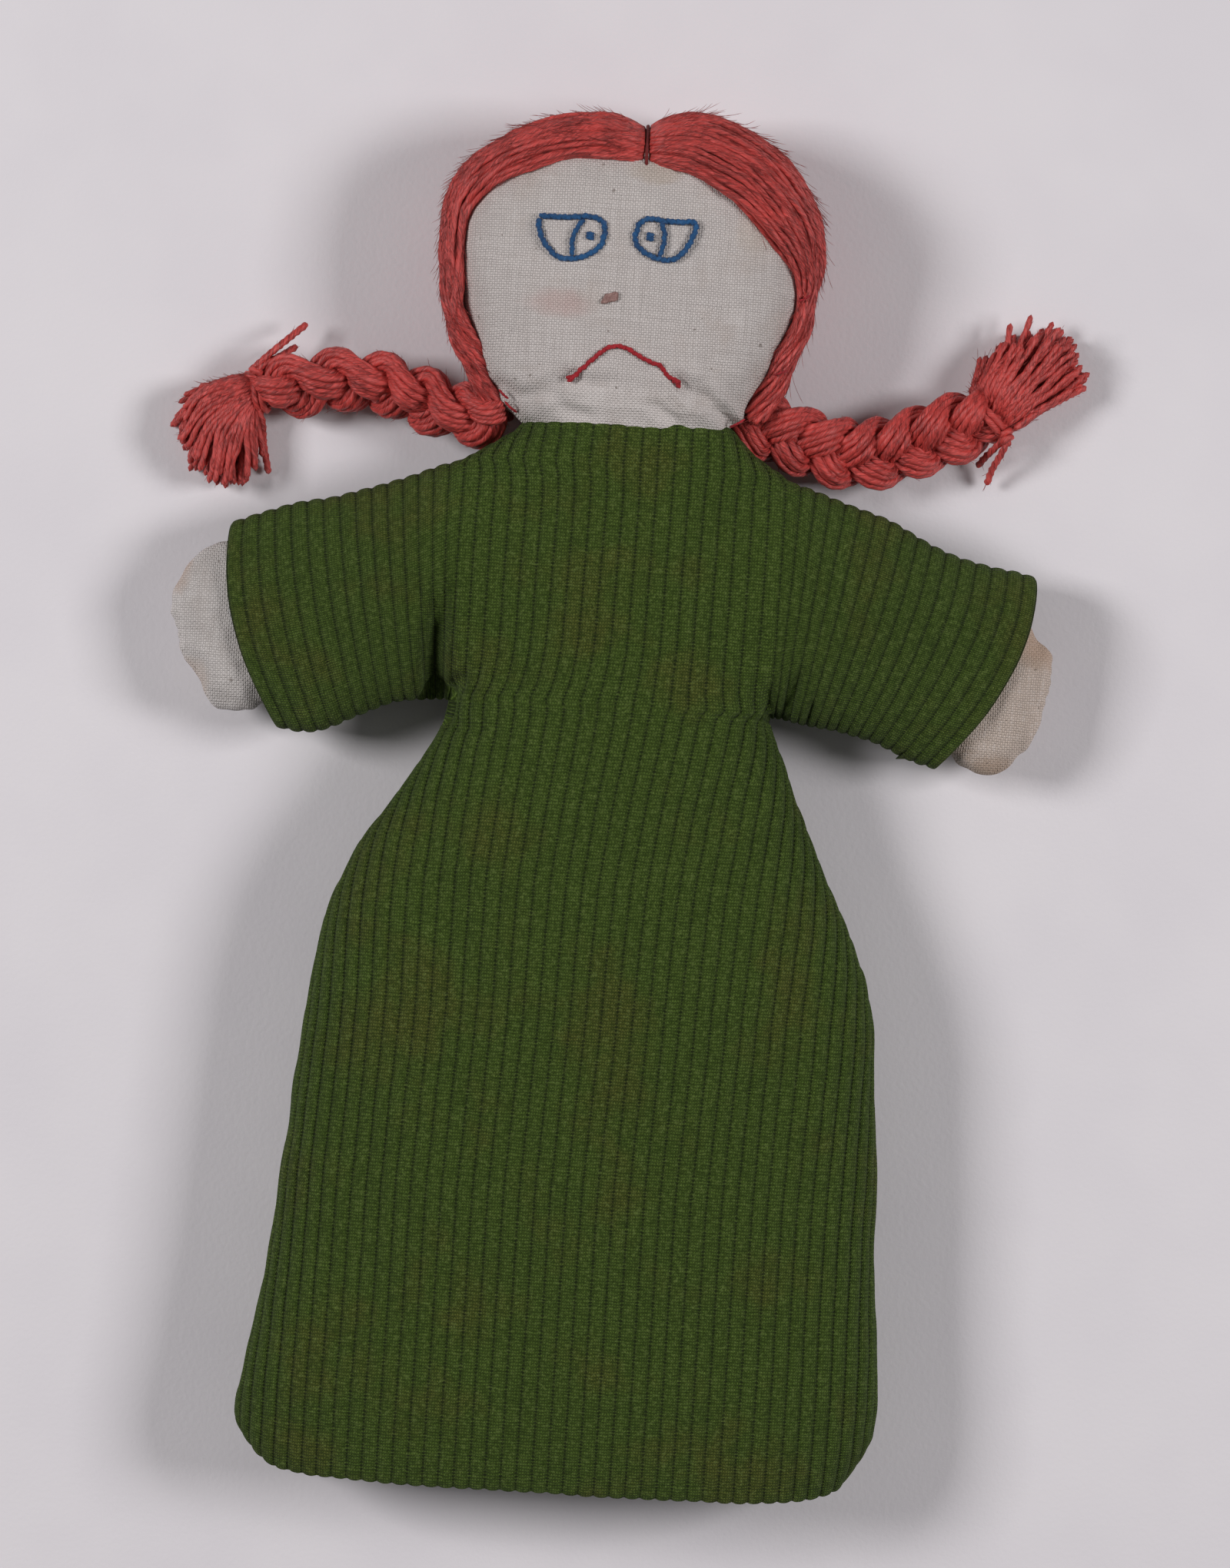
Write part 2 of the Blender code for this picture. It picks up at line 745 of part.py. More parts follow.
def make_tie(word):
    """Yarn wound round the narrow end of the plait."""
    line = smooth_line(PLAITS[word], PLAIT_STEPS * PLAIT_CROSSINGS + 1)
    direction = (line[-1] - line[-2]).normalized()
    mesh = bpy.data.meshes.new(f"{word}_tie")
    body = bmesh.new()
    loops = []
    for step in range(TIE_STEPS):
        angle = 2 * math.pi * step / TIE_STEPS
        out = Vector((0, math.cos(angle), math.sin(angle)))
        loop = []
        for corner in range(TIE_YARN_STEPS):
            turn = 2 * math.pi * corner / TIE_YARN_STEPS
            radius = TIE_RADIUS + TIE_YARN * math.cos(turn)
            place = out * radius + Vector((1, 0, 0)) * TIE_YARN * math.sin(turn)
            loop.append(body.verts.new(place * MM))
        loops.append(loop)
    for first, second in zip(loops, loops[1:] + loops[:1]):
        for corner in range(TIE_YARN_STEPS):
            after = (corner + 1) % TIE_YARN_STEPS
            body.faces.new((first[corner], first[after], second[after], second[corner]))
    bmesh.ops.recalc_face_normals(body, faces=body.faces)
    body.to_mesh(mesh)
    body.free()
    made = add_object(f"{word}_tie", mesh)
    made.rotation_mode = "QUATERNION"
    made.rotation_quaternion = Vector((1, 0, 0)).rotation_difference(direction)
    made.location = (line[-1] - direction * TIE_BEFORE_END) * MM
    return made


def make_tassel(word):
    """The loose yarn ends past the tie, fanned out on the table."""
    places = TASSELS[word]
    rings = []
    for number, (x, y, width) in enumerate(places):
        before = Vector(places[max(0, number - 1)][:2])
        after = Vector(places[min(len(places) - 1, number + 1)][:2])
        forward = (after - before).normalized()
        across = Vector((-forward.y, forward.x))
        depth = TASSEL_HALF_DEPTH[number]
        height = max(TASSEL_ROOT_HEIGHT - TASSEL_FALL * number, depth + GAP)
        ring = []
        for step in range(TASSEL_STEPS):
            angle = 2 * math.pi * step / TASSEL_STEPS
            place = Vector((x, y)) + across * width * math.cos(angle)
            ring.append((place.x, place.y, height + depth * math.sin(angle)))
        rings.append(ring)
    return loft(f"{word}_tassel", rings)


def pivot(name, place, parent=None):
    """An empty on a joint's axis, which carries the pieces that the joint moves."""
    made = add_object(name, None)
    made.empty_display_size = 0.01
    made.location = Vector(place) * MM
    if parent:
        made.parent = parent
        made.matrix_parent_inverse = Matrix.Translation(-Vector(place_of(parent)))
    made["place"] = list(Vector(place) * MM)
    return made


def place_of(empty):
    return empty["place"]


def hang(pieces, empty):
    for piece in pieces:
        piece.parent = empty
        piece.matrix_parent_inverse = Matrix.Translation(-Vector(place_of(empty)))


def dress_up(piece, material):
    piece.data.materials.clear()
    piece.data.materials.append(material)
    if piece.type == "MESH":
        piece.data.shade_smooth()
        piece.data.set_sharp_from_angle(angle=math.radians(40))


def build():
    clear_scene()
    material = make_materials()
    neck = pivot("neck_pivot", NECK_PIVOT)
    head = pivot("head_pivot", NECK_PIVOT, neck)

    knit = cut_dress(make_dress_shell())
    knit["hem_turning"] = make_hem_turning()
    green_threads = [make_side_seam("left", -1), make_side_seam("right", 1), make_neck_seam()]

    neck_cloth = make_neck_cloth()
    hang([neck_cloth], neck)
    head_cloth = make_head()
    stuffing = make_stuffing()
    hair = make_hair()
    reds = [make_parting_stitch(), *(make_tack(name, ends) for name, ends in TACKS.items())]
    mouth = smooth_line([(*p, 0) for p in MOUTH], 15)
    reds.append(thread("mouth_stitch", on_surface(HEAD, [(p.x, p.y) for p in mouth], THREAD), THREAD))
    nose = small_ellipsoid("nose_stitch", NOSE_AT, NOSE_SIZE)
    blues = []
    for word, (outline, iris, pupil) in EYES.items():
        blues += make_eye(word, outline, iris, pupil)
    hang([*head_cloth, stuffing, *hair, *reds, nose, *blues], head)

    calico = [neck_cloth, *head_cloth]
    yarn = [*hair]
    for word, side in (("left", -1), ("right", 1)):
        lift = pivot(f"{word}_lift_pivot", (side * LIFT_PIVOT[0], *LIFT_PIVOT[1:]))
        fold = pivot(f"{word}_fold_pivot", (side * FOLD_PIVOT[0], *FOLD_PIVOT[1:]), lift)
        swing = pivot(f"{word}_plait_pivot", (side * PLAIT_PIVOT[0], *PLAIT_PIVOT[1:]), head)
        hands = make_hand(word, side)
        calico += hands
        hang([knit[f"{word}_armhole"]], lift)
        hang([knit[f"{word}_sleeve_front"], knit[f"{word}_sleeve_back"], *hands], fold)
        plait = [make_plait(word), make_tie(word), make_tassel(word)]
        yarn += plait
        hang(plait, swing)

    coats = {
        "green_knit": knit.values(),
        "green_thread": green_threads,
        "calico": calico,
        "wadding": [stuffing],
        "pink_yarn": yarn,
        "red_thread": reds,
        "brown_thread": [nose],
        "blue_thread": blues,
    }
    for name, pieces in coats.items():
        for piece in pieces:
            dress_up(piece, material[name])


build()
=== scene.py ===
import math

import bpy
import bmesh
import numpy as np
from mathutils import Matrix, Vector, noise


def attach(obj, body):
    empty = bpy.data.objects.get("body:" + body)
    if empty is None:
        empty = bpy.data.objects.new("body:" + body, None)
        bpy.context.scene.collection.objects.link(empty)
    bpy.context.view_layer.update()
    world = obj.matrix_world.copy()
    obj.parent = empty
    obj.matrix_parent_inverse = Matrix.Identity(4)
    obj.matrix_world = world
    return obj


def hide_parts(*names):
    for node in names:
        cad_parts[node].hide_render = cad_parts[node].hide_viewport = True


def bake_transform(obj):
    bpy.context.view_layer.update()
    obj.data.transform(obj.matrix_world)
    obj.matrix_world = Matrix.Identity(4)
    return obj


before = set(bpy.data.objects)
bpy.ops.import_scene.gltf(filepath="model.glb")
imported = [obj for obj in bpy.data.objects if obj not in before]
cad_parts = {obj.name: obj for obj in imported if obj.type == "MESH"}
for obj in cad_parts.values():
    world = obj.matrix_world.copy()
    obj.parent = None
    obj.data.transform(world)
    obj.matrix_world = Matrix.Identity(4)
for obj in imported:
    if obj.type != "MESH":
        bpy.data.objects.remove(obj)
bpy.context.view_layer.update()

# Lengths below are in millimetres, in the frame's axes. A point's height above the table is its z.
MM = 0.001
TURN = 2 * math.pi
SIDES = {"left": -1, "right": 1}
SEAM = 18.0  # height of the side seams over the body
CAMERA_AT = (2.6, 6.4, 1318.0)
rng = np.random.default_rng(11)


# ---------------------------------------------------------------- small maths

def table(rows):
    """A function that reads a value off these (where, value) rows."""
    rows = np.array(sorted(rows), float)
    return lambda where: np.interp(where, rows[:, 0], rows[:, 1])


def smoothstep(value, low, high):
    t = np.clip((np.asarray(value, float) - low) / (high - low), 0, 1)
    return t * t * (3 - 2 * t)


def bell(distance, width):
    return np.exp(-0.5 * (distance / width) ** 2)


def lengths(points):
    """How far along a line each of its points is."""
    steps = np.linalg.norm(np.diff(points, axis=0), axis=1)
    return np.concatenate([[0], np.cumsum(steps)])


def unit(vectors):
    return vectors / np.linalg.norm(vectors, axis=-1, keepdims=True)


def along(points, shares):
    """Points at these shares of a line's length."""
    points = np.asarray(points, float)
    reach = lengths(points)
    at = np.asarray(shares) * reach[-1]
    return np.stack([np.interp(at, reach, points[:, k]) for k in range(points.shape[1])], 1)


def resampled(path, step):
    return along(path, np.linspace(0, 1, max(6, int(lengths(path)[-1] / step))))


def curve(points, count):
    """A smooth Catmull-Rom line through the points, evenly spaced."""
    points = np.asarray(points, float)
    padded = np.vstack([2 * points[0] - points[1], points, 2 * points[-1] - points[-2]])
    pieces = []
    for k in range(len(points) - 1):
        a, b, c, d = padded[k:k + 4]
        t = np.linspace(0, 1, 16, endpoint=False)[:, None]
        pieces.append(0.5 * (2 * b + (c - a) * t + (2 * a - 5 * b + 4 * c - d) * t ** 2
                             + (3 * b - a - 3 * c + d) * t ** 3))
    pieces.append(points[-1:])
    return along(np.vstack(pieces), np.linspace(0, 1, count))


def hump(share, power):
    """Height of a superellipse across a span: 0 at its ends, 1 in the middle."""
    return np.clip(1 - np.abs(share) ** power, 0, 1) ** (1 / power)


def field(points, size, seed=0.0):
    """Smooth noise at these points, from -1 to 1, with features about this size."""
    return np.array([noise.noise(Vector((x / size + seed, y / size, z / size))) for x, y, z in points])


def field_3d(points, size, seed, apart, step=1):
    """Three fields at once, one for each axis, with their places and seeds apart."""
    return np.stack([field(points + apart * k, size, seed + step * k) for k in range(3)], 1)


def seen(points, height=None):
    """Points laid out as the camera sees them against the seam, moved to their own height."""
    points = np.array(points, float)
    z = points[:, 2] if height is None else np.asarray(height, float)
    scale = (CAMERA_AT[2] - z) / (CAMERA_AT[2] - SEAM)
    for axis in (0, 1):
        points[:, axis] = CAMERA_AT[axis] + (points[:, axis] - CAMERA_AT[axis]) * scale
    return points


# ---------------------------------------------------------------- materials

class Graph:
    """Short forms for building a node tree."""

    def __init__(self, tree):
        self.tree = tree

    def node(self, kind, **settings):
        made = self.tree.nodes.new(kind)
        for key, value in settings.items():
            setattr(made, key, value)
        return made

    def link(self, value, socket):
        if isinstance(value, bpy.types.NodeSocket):
            self.tree.links.new(value, socket)
        else:
            socket.default_value = value

    def math(self, operation, *values):
        made = self.node("ShaderNodeMath", operation=operation)
        for value, socket in zip(values, made.inputs):
            self.link(value, socket)
        return made.outputs[0]

    def plus(self, a, b):
        return self.math("ADD", a, b)

    def minus(self, a, b):
        return self.math("SUBTRACT", a, b)

    def times(self, a, b):
        return self.math("MULTIPLY", a, b)

    def mix(self, share, a, b):
        made = self.node("ShaderNodeMix", data_type="RGBA")
        self.link(share, made.inputs["Factor"])
        self.link(a, made.inputs[6])
        self.link(b, made.inputs[7])
        return made.outputs[2]

    def over(self, base, tone, mask, most):
        """The base with a tone laid over it where the mask says, at most this much."""
        return self.mix(self.times(mask, most), base, tone)

    def ramp(self, value, low, high):
        made = self.node("ShaderNodeMapRange", interpolation_type="SMOOTHSTEP")
        self.link(value, made.inputs["Value"])
        made.inputs["From Min"].default_value = low
        made.inputs["From Max"].default_value = high
        return made.outputs[0]

    def noise(self, vector, scale, detail=3.0, rough=0.5):
        made = self.node("ShaderNodeTexNoise")
        self.link(vector, made.inputs["Vector"])
        made.inputs["Scale"].default_value = scale
        made.inputs["Detail"].default_value = detail
        made.inputs["Roughness"].default_value = rough
        return made.outputs["Fac"]

    def scaled(self, vector, factors):
        made = self.node("ShaderNodeVectorMath", operation="MULTIPLY")
        self.link(vector, made.inputs[0])
        made.inputs[1].default_value = factors
        return made.outputs[0]

    def parts(self, vector):
        made = self.node("ShaderNodeSeparateXYZ")
        self.link(vector, made.inputs[0])
        return made.outputs

    def thread(self):
        """The computed UV map: round a yarn or across the ribs, then along it in mm."""
        return self.node("ShaderNodeUVMap", uv_map="thread").outputs[0]

    def place(self):
        """The point on the object, in mm."""
        made = self.node("ShaderNodeTexCoord")
        return self.scaled(made.outputs["Object"], (1 / MM, 1 / MM, 1 / MM))

    def bump(self, height, depth, strength=1.0):
        made = self.node("ShaderNodeBump")
        made.inputs["Strength"].default_value = strength
        made.inputs["Distance"].default_value = depth * MM
        self.link(height, made.inputs["Height"])
        return made.outputs[0]


def rgb(red, green, blue):
    return (red, green, blue, 1.0)


def changed(colour, factor, added=0.0):
    return rgb(*(min(1.0, added + part * factor) for part in colour[:3]))


def new_material(name):
    """A material, its node graph and its shader."""
    material = bpy.data.materials.new(name)
    material.use_nodes = True
    return material, Graph(material.node_tree), material.node_tree.nodes["Principled BSDF"]


def finish_shader(g, shader, base, normal, **sockets):
    """Connect the colour and the normal, and set the other sockets by name."""
    g.link(base, shader.inputs["Base Color"])
    g.link(normal, shader.inputs["Normal"])
    names = {"rough": "Roughness", "specular": "Specular IOR Level", "sheen": "Sheen Weight",
             "sheen_rough": "Sheen Roughness", "sheen_tint": "Sheen Tint"}
    for key, value in sockets.items():
        shader.inputs[names[key]].default_value = value


STITCH_COLUMNS, STITCH_ROW, HOLE_ROW = 6.0, 0.66, 0.80  # stitches in a rib, and mm along it


def knit_material():
    """Ribbed knit: slanted stitches in columns, and grooves with a row of small holes; painted shade darkens
    the gaps between the stitches, the grooves and the holes.
    """
    material, g, shader = new_material("green_knit")
    rib, row = g.parts(g.thread())[:2]
    place = g.place()
    drift = g.noise(place, 0.55, 2.0)
    off_column = g.minus(g.math("FRACT", g.times(rib, STITCH_COLUMNS)), 0.5)
    column = g.times(g.math("ABSOLUTE", off_column), 2.0)
    slant = g.plus(g.times(column, 0.55), g.times(drift, 1.1))
    turn = g.times(g.plus(g.math("DIVIDE", row, STITCH_ROW), slant), TURN)
    loop = g.math("MULTIPLY_ADD", g.math("SINE", turn), 0.5, 0.5)
    stitch = g.times(loop, g.ramp(column, 1.02, 0.50))
    off_middle = g.math("ABSOLUTE", g.minus(g.math("FRACT", rib), 0.5))
    groove = g.ramp(off_middle, 0.27, 0.50)
    beat = g.math("SINE", g.times(g.plus(row, drift), TURN / HOLE_ROW))
    hole = g.times(g.ramp(off_middle, 0.37, 0.46), g.ramp(beat, -0.45, 0.5))
    patches = g.noise(place, 0.042, 4.0, 0.6)
    shade = g.noise(place, 0.16, 3.0, 0.6)
    grain = g.noise(place, 1.25, 3.0, 0.7)
    base = g.mix(g.ramp(patches, 0.48, 0.68), rgb(0.112, 0.178, 0.030), rgb(0.150, 0.166, 0.032))
    for tone, mask, most in [
            (rgb(0.078, 0.130, 0.022), g.ramp(shade, 0.35, 0.75), 0.35),
            # painted shade in the gaps between the stitches
            (rgb(0.016, 0.030, 0.004), g.minus(1.0, stitch), 0.78),
            (rgb(0.024, 0.044, 0.005), g.ramp(grain, 0.50, 0.62), 0.55),
            (rgb(0.20, 0.27, 0.075), g.ramp(grain, 0.46, 0.34), 0.34),
            # painted shade in the rib grooves
            (rgb(0.018, 0.030, 0.004), groove, 0.26),
            # painted shade in the small holes, which the bump also presses in
            (rgb(0.006, 0.010, 0.002), hole, 0.55)]:
        base = g.over(base, tone, mask, most)
    height = g.minus(stitch, g.times(hole, 1.3))
    finish_shader(g, shader, base, g.bump(height, 0.30), rough=0.9, specular=0.12, sheen=0.03, sheen_rough=0.5)
    return material


WEAVE = 0.98  # mm from one thread of the calico to the next but one


def calico_material(name, tint, stain, amount, stains_and_painted_light):
    """Plain-woven cotton with slubs, stains and specks, and painted shade between its threads. Patches of
    stain, and of painted light, are each (middle, reach, tone, most).
    """
    material, g, shader = new_material(name)
    place = g.place()
    across, up = g.parts(place)[:2]
    wobble = g.times(g.noise(place, 0.12, 2.0), 1.1)
    waves = []
    for way in (across, up):
        waves.append(g.math("SINE", g.times(g.plus(way, wobble), TURN / WEAVE)))
    weave = g.times(*waves)
    threads = g.times(*[g.math("ABSOLUTE", wave) for wave in waves])
    runs = ((0.11, 2.3, 0.3), (2.3, 0.11, 0.3))
    slubs = g.plus(*[g.noise(g.scaled(place, run), 1.0, 2.0) for run in runs])
    marks = g.noise(place, 0.09, 4.0, 0.65)
    specks = g.noise(place, 0.55, 1.0)
    # painted shade darkens the gaps between the threads
    base = g.over(tint, changed(tint, 0.42), g.ramp(threads, 0.62, 0.02), 0.66)
    base = g.over(base, rgb(0.74, 0.70, 0.68), g.ramp(slubs, 1.0, 1.25), 0.22)
    base = g.over(base, rgb(0.26, 0.235, 0.22), g.ramp(slubs, 0.98, 0.78), 0.13)
    # patches of stain, and of painted light
    for middle, reach, tone, most in stains_and_painted_light:
        far = g.math("MULTIPLY_ADD", marks, 2.4, -1.2)
        for way, at, size in zip((across, up), middle, reach):
            off = g.math("DIVIDE", g.minus(way, at), size)
            far = g.plus(far, g.math("POWER", off, 2.0))
        base = g.over(base, tone, g.ramp(far, 1.2, 0.0), most)
    base = g.over(base, stain, g.ramp(marks, 0.5, 0.75), amount)
    base = g.over(base, rgb(0.10, 0.07, 0.05), g.ramp(specks, 0.765, 0.80), 0.55)
    height = g.plus(g.times(weave, 0.35), g.times(threads, 0.8))
    height = g.plus(height, g.times(slubs, 0.5))
    finish_shader(g, shader, base, g.bump(height, 0.16), rough=0.92, specular=0.15, sheen=0.06)
    return material


def yarn_material(name, dark, light, rough=0.62, streak=26.0, shine=0.35):
    """Spun fibres: streaks along the yarn, the fine ones partly painted highlight and painted shade, with some
    yarns lighter or darker than others.
    """
    material, g, shader = new_material(name)
    thread = g.thread()
    fibres = g.noise(g.scaled(thread, (streak, 0.15, 1.0)), 1.0, 3.0, 0.6)
    fine = g.noise(g.scaled(thread, (streak * 3.1, 0.50, 1.0)), 1.0, 2.0, 0.6)
    strands = g.noise(g.scaled(thread, (1.1, 0.16, 1.0)), 1.0, 2.0, 0.6)
    tone = g.noise(g.place(), 0.11, 3.0, 0.6)
    base = g.mix(g.ramp(fibres, 0.36, 0.60), dark, light)
    for layer, mask, most in [
            (changed(light, 1.25, 0.07), g.ramp(strands, 0.56, 0.72), 0.45),
            (dark, g.ramp(strands, 0.46, 0.32), 0.35),
            # painted highlight: lighter fine streaks along the fibres, partly the fibres' own tone
            (changed(light, 1.32, 0.05), g.ramp(fine, 0.50, 0.64), 0.62),
            # painted shade: darker fine streaks between the fibres, partly the fibres' own tone
            (changed(dark, 0.6), g.ramp(fine, 0.48, 0.36), 0.40),
            (changed(light, 1.3), g.ramp(tone, 0.40, 0.72), 0.40)]:
        base = g.over(base, layer, mask, most)
    height = g.plus(fibres, g.times(fine, 0.6))
    finish_shader(g, shader, base, g.bump(height, 0.26), rough=rough, specular=shine, sheen=0.10,
                  sheen_rough=0.4, sheen_tint=rgb(1.0, 0.50, 0.44))
    return material


def floor_material():
    material, g, shader = new_material("pale_floor")
    place = g.place()
    cloudy = g.ramp(g.noise(place, 0.02, 3.0, 0.6), 0.3, 0.7)
    base = g.mix(cloudy, rgb(0.735, 0.705, 0.735), rgb(0.765, 0.735, 0.76))
    finish_shader(g, shader, base, g.bump(g.noise(place, 0.9, 2.0), 0.12, 0.5), rough=0.7, specular=0.2)
    return material


GREEN = knit_material()
FACE = calico_material("calico", rgb(0.655, 0.60, 0.575), rgb(0.42, 0.33, 0.27), 0.22, [
    # painted light: a lighter patch at the chin, where it turns away from the lamps
    ((0.0, 84.0), (24.0, 5.0), rgb(0.84, 0.78, 0.75), 0.35),
    ((-14.5, 104.6), (9.0, 3.6), rgb(0.50, 0.30, 0.27), 0.42),
    ((2.6, 133.0), (6.5, 3.0), rgb(0.44, 0.34, 0.25), 0.40),
    ((24.0, 121.0), (5.0, 6.0), rgb(0.48, 0.38, 0.29), 0.30)])
HAND_CLOTH = {
    "right": calico_material("calico_hand", rgb(0.60, 0.50, 0.43), rgb(0.34, 0.23, 0.15), 0.5, [
        ((88.6, 40.5), (5.5, 5.5), rgb(0.42, 0.27, 0.18), 0.6),
        ((81.0, 14.8), (6.0, 3.2), rgb(0.36, 0.24, 0.16), 0.5)]),
    "left": calico_material("calico_hand_left", rgb(0.63, 0.59, 0.565), rgb(0.36, 0.31, 0.28), 0.35, [
        # a dark bluish-grey band across the hand beside the cuff
        ((-75.5, 38.0), (4.6, 9.5), rgb(0.27, 0.29, 0.32), 0.75),
        ((-91.5, 45.0), (4.0, 5.5), rgb(0.44, 0.30, 0.22), 0.5),
        ((-87.0, 22.0), (4.5, 5.0), rgb(0.46, 0.34, 0.26), 0.4)])}
PINK = yarn_material("pink_yarn", rgb(0.18, 0.009, 0.008), rgb(0.57, 0.055, 0.046), 0.45, 9.0, 0.5)
RED = yarn_material("red_thread", rgb(0.26, 0.005, 0.010), rgb(0.56, 0.016, 0.030))
DARK_RED = yarn_material("dark_red_thread", rgb(0.10, 0.008, 0.008), rgb(0.26, 0.018, 0.018))
BROWN = yarn_material("brown_thread", rgb(0.26, 0.13, 0.12), rgb(0.46, 0.28, 0.25))
BLUE = yarn_material("blue_thread", rgb(0.007, 0.045, 0.14), rgb(0.015, 0.125, 0.32))
SEAM_THREAD = yarn_material("green_thread", rgb(0.010, 0.020, 0.004), rgb(0.05, 0.08, 0.02))


# ---------------------------------------------------------------- meshes

def mesh_object(name, points, faces, material, loop_uvs=None):
    """A smooth mesh object from points in mm."""
    mesh = bpy.data.meshes.new(name)
    mesh.from_pydata((np.asarray(points) * MM).tolist(), [], faces)
    mesh.polygons.foreach_set("use_smooth", [True] * len(mesh.polygons))
    if loop_uvs is not None:
        layer = mesh.uv_layers.new(name="thread")
        layer.data.foreach_set("uv", np.asarray(loop_uvs, np.float32).ravel())
    mesh.materials.append(material)
    mesh.update()
    made = bpy.data.objects.new(name, mesh)
    bpy.context.scene.collection.objects.link(made)
    return made


def numbers(items, attribute, width):
    """One attribute of every item, as rows of this width."""
    flat = np.empty(len(items) * width, np.float32)
    items.foreach_get(attribute, flat)
    return flat.reshape(-1, width).astype(float)


def positions(mesh):
    return numbers(mesh.vertices, "co", 3) / MM


def normals(mesh):
    return numbers(mesh.vertex_normals, "vector", 3)


def place_vertices(mesh, points):
    mesh.vertices.foreach_set("co", (np.asarray(points) * MM).astype(np.float32).ravel())
    mesh.update()


def vertex_rib(mesh):
    """Which rib each vertex lies on: the mean of its corners' first UV."""
    corner = np.empty(len(mesh.loops), np.int32)
    mesh.loops.foreach_get("vertex_index", corner)
    across = numbers(mesh.uv_layers["thread"].data, "uv", 2)[:, 0]
    count = np.maximum(np.bincount(corner, minlength=len(mesh.vertices)), 1)
    return np.bincount(corner, across, len(mesh.vertices)) / count


def set_zones(obj, zones, material):
    """Give each face its zone as a material index, in as many copies of one material."""
    for _ in range(max(zones)):
        obj.data.materials.append(material)
    obj.data.polygons.foreach_set("material_index", zones)


def face_outward(obj):
    work = bmesh.new()
    work.from_mesh(obj.data)
    bmesh.ops.recalc_face_normals(work, faces=work.faces)
    work.to_mesh(obj.data)
    work.free()


def subdivided(obj, levels):
    modifier = obj.modifiers.new("smooth", "SUBSURF")
    modifier.levels = modifier.render_levels = levels
    modifier.uv_smooth = "NONE"
    graph = bpy.context.evaluated_depsgraph_get()
    mesh = bpy.data.meshes.new_from_object(obj.evaluated_get(graph))
    obj.modifiers.clear()
    obj.data = mesh


def split_by_zone(obj, names, material):
    """One piece for each zone, with the whole mesh's normals. Returns them by name."""
    whole = obj.data
    outward = normals(whole)
    zone = np.empty(len(whole.polygons), np.int32)
    whole.polygons.foreach_get("material_index", zone)
    pieces = {}
    for index, name in enumerate(names):
        mesh = whole.copy()
        mesh.name = name
        work = bmesh.new()
        work.from_mesh(mesh)
        origin = work.verts.layers.int.new("origin")
        for k, vertex in enumerate(work.verts):
            vertex[origin] = k
        work.faces.ensure_lookup_table()
        others = [face for k, face in enumerate(work.faces) if zone[k] != index]
        bmesh.ops.delete(work, geom=others, context="FACES")
        kept = [vertex[origin] for vertex in work.verts]
        work.to_mesh(mesh)
        work.free()
        mesh.attributes.remove(mesh.attributes["origin"])
        mesh.materials.clear()
        mesh.materials.append(material)
        mesh.polygons.foreach_set("material_index", [0] * len(mesh.polygons))
        mesh.normals_split_custom_set_from_vertices(outward[kept].tolist())
        pieces[name] = bpy.data.objects.new(name, mesh)
        bpy.context.scene.collection.objects.link(pieces[name])
    bpy.data.objects.remove(obj)
    return pieces


def wear(piece, body, slot, *nodes):
    """Ride on a body and stand for these CAD nodes; the slot is not used."""
    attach(piece, body)
    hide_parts(*nodes)


class Tubes:
    """Many yarns gathered into one mesh."""

    def __init__(self):
        self.points, self.faces, self.uvs, self.count = [], [], [], 0

    def add(self, path, radius, sides=10, lobes=3, depth=0.13, pitch=7.0, taper=0.8):
        """A yarn round this path: its plies stand out by depth and turn once in each pitch."""
        path = np.asarray(path, float)
        n = len(path)
        tangent = np.gradient(path, axis=0)
        tangent /= np.maximum(np.linalg.norm(tangent, axis=1), 1e-9)[:, None]
        current = np.cross(tangent[0], (0.31, 0.22, 0.93))
        if np.linalg.norm(current) < 0.1:
            current = np.cross(tangent[0], (1.0, 0.1, 0.0))
        across = np.empty((n, 3))
        for k in range(n):
            current = current - tangent[k] * (current @ tangent[k])
            current = current / max(np.linalg.norm(current), 1e-9)
            across[k] = current
        other = np.cross(tangent, across)
        reach = lengths(path)
        phase = rng.uniform(0, TURN)
        angle = np.arange(sides) * TURN / sides
        turn = TURN * reach / pitch
        radius = np.broadcast_to(np.asarray(radius, float), (n,)).copy()
        ends = np.minimum(reach, reach[-1] - reach)
        radius *= np.sqrt(np.clip(1 - (1 - np.clip(ends / taper, 0, 1)) ** 2, 0.02, 1))
        wave = 1 + depth * np.cos(lobes * (angle[None, :] - turn[:, None]) + phase)
        out = (radius[:, None] * wave)[..., None]
        ring = path[:, None, :] + out * (np.cos(angle)[None, :, None] * across[:, None, :]
                                         + np.sin(angle)[None, :, None] * other[:, None, :])
        start = self.count
        self.points.append(ring.reshape(-1, 3))
        k, i = np.meshgrid(np.arange(n - 1), np.arange(sides), indexing="ij")
        j = (i + 1) % sides
        quads = np.stack([k * sides + i, (k + 1) * sides + i, (k + 1) * sides + j, k * sides + j], -1)
        self.faces.extend((quads.reshape(-1, 4) + start).tolist())
        twist = turn / TURN + phase * 3.7
        u, v = i / sides + twist[k], reach[k]
        u_on, v_on = i / sides + twist[k + 1], reach[k + 1]
        step = 1 / sides
        self.uvs.append(np.stack([u, v, u_on, v_on, u_on + step, v_on, u + step, v], -1).reshape(-1, 2))
        first, last = list(range(start, start + sides)), list(range(start + (n - 1) * sides, start + n * sides))
        for cap, row in ((first, 0), (last[::-1], n - 1)):
            self.faces.append(cap)
            self.uvs.append(np.full((sides, 2), (phase, reach[row])))
        self.count += n * sides

    def build(self, name, material):
        return mesh_object(name, np.vstack(self.points), self.faces, material, np.vstack(self.uvs))


# ---------------------------------------------------------------- dress

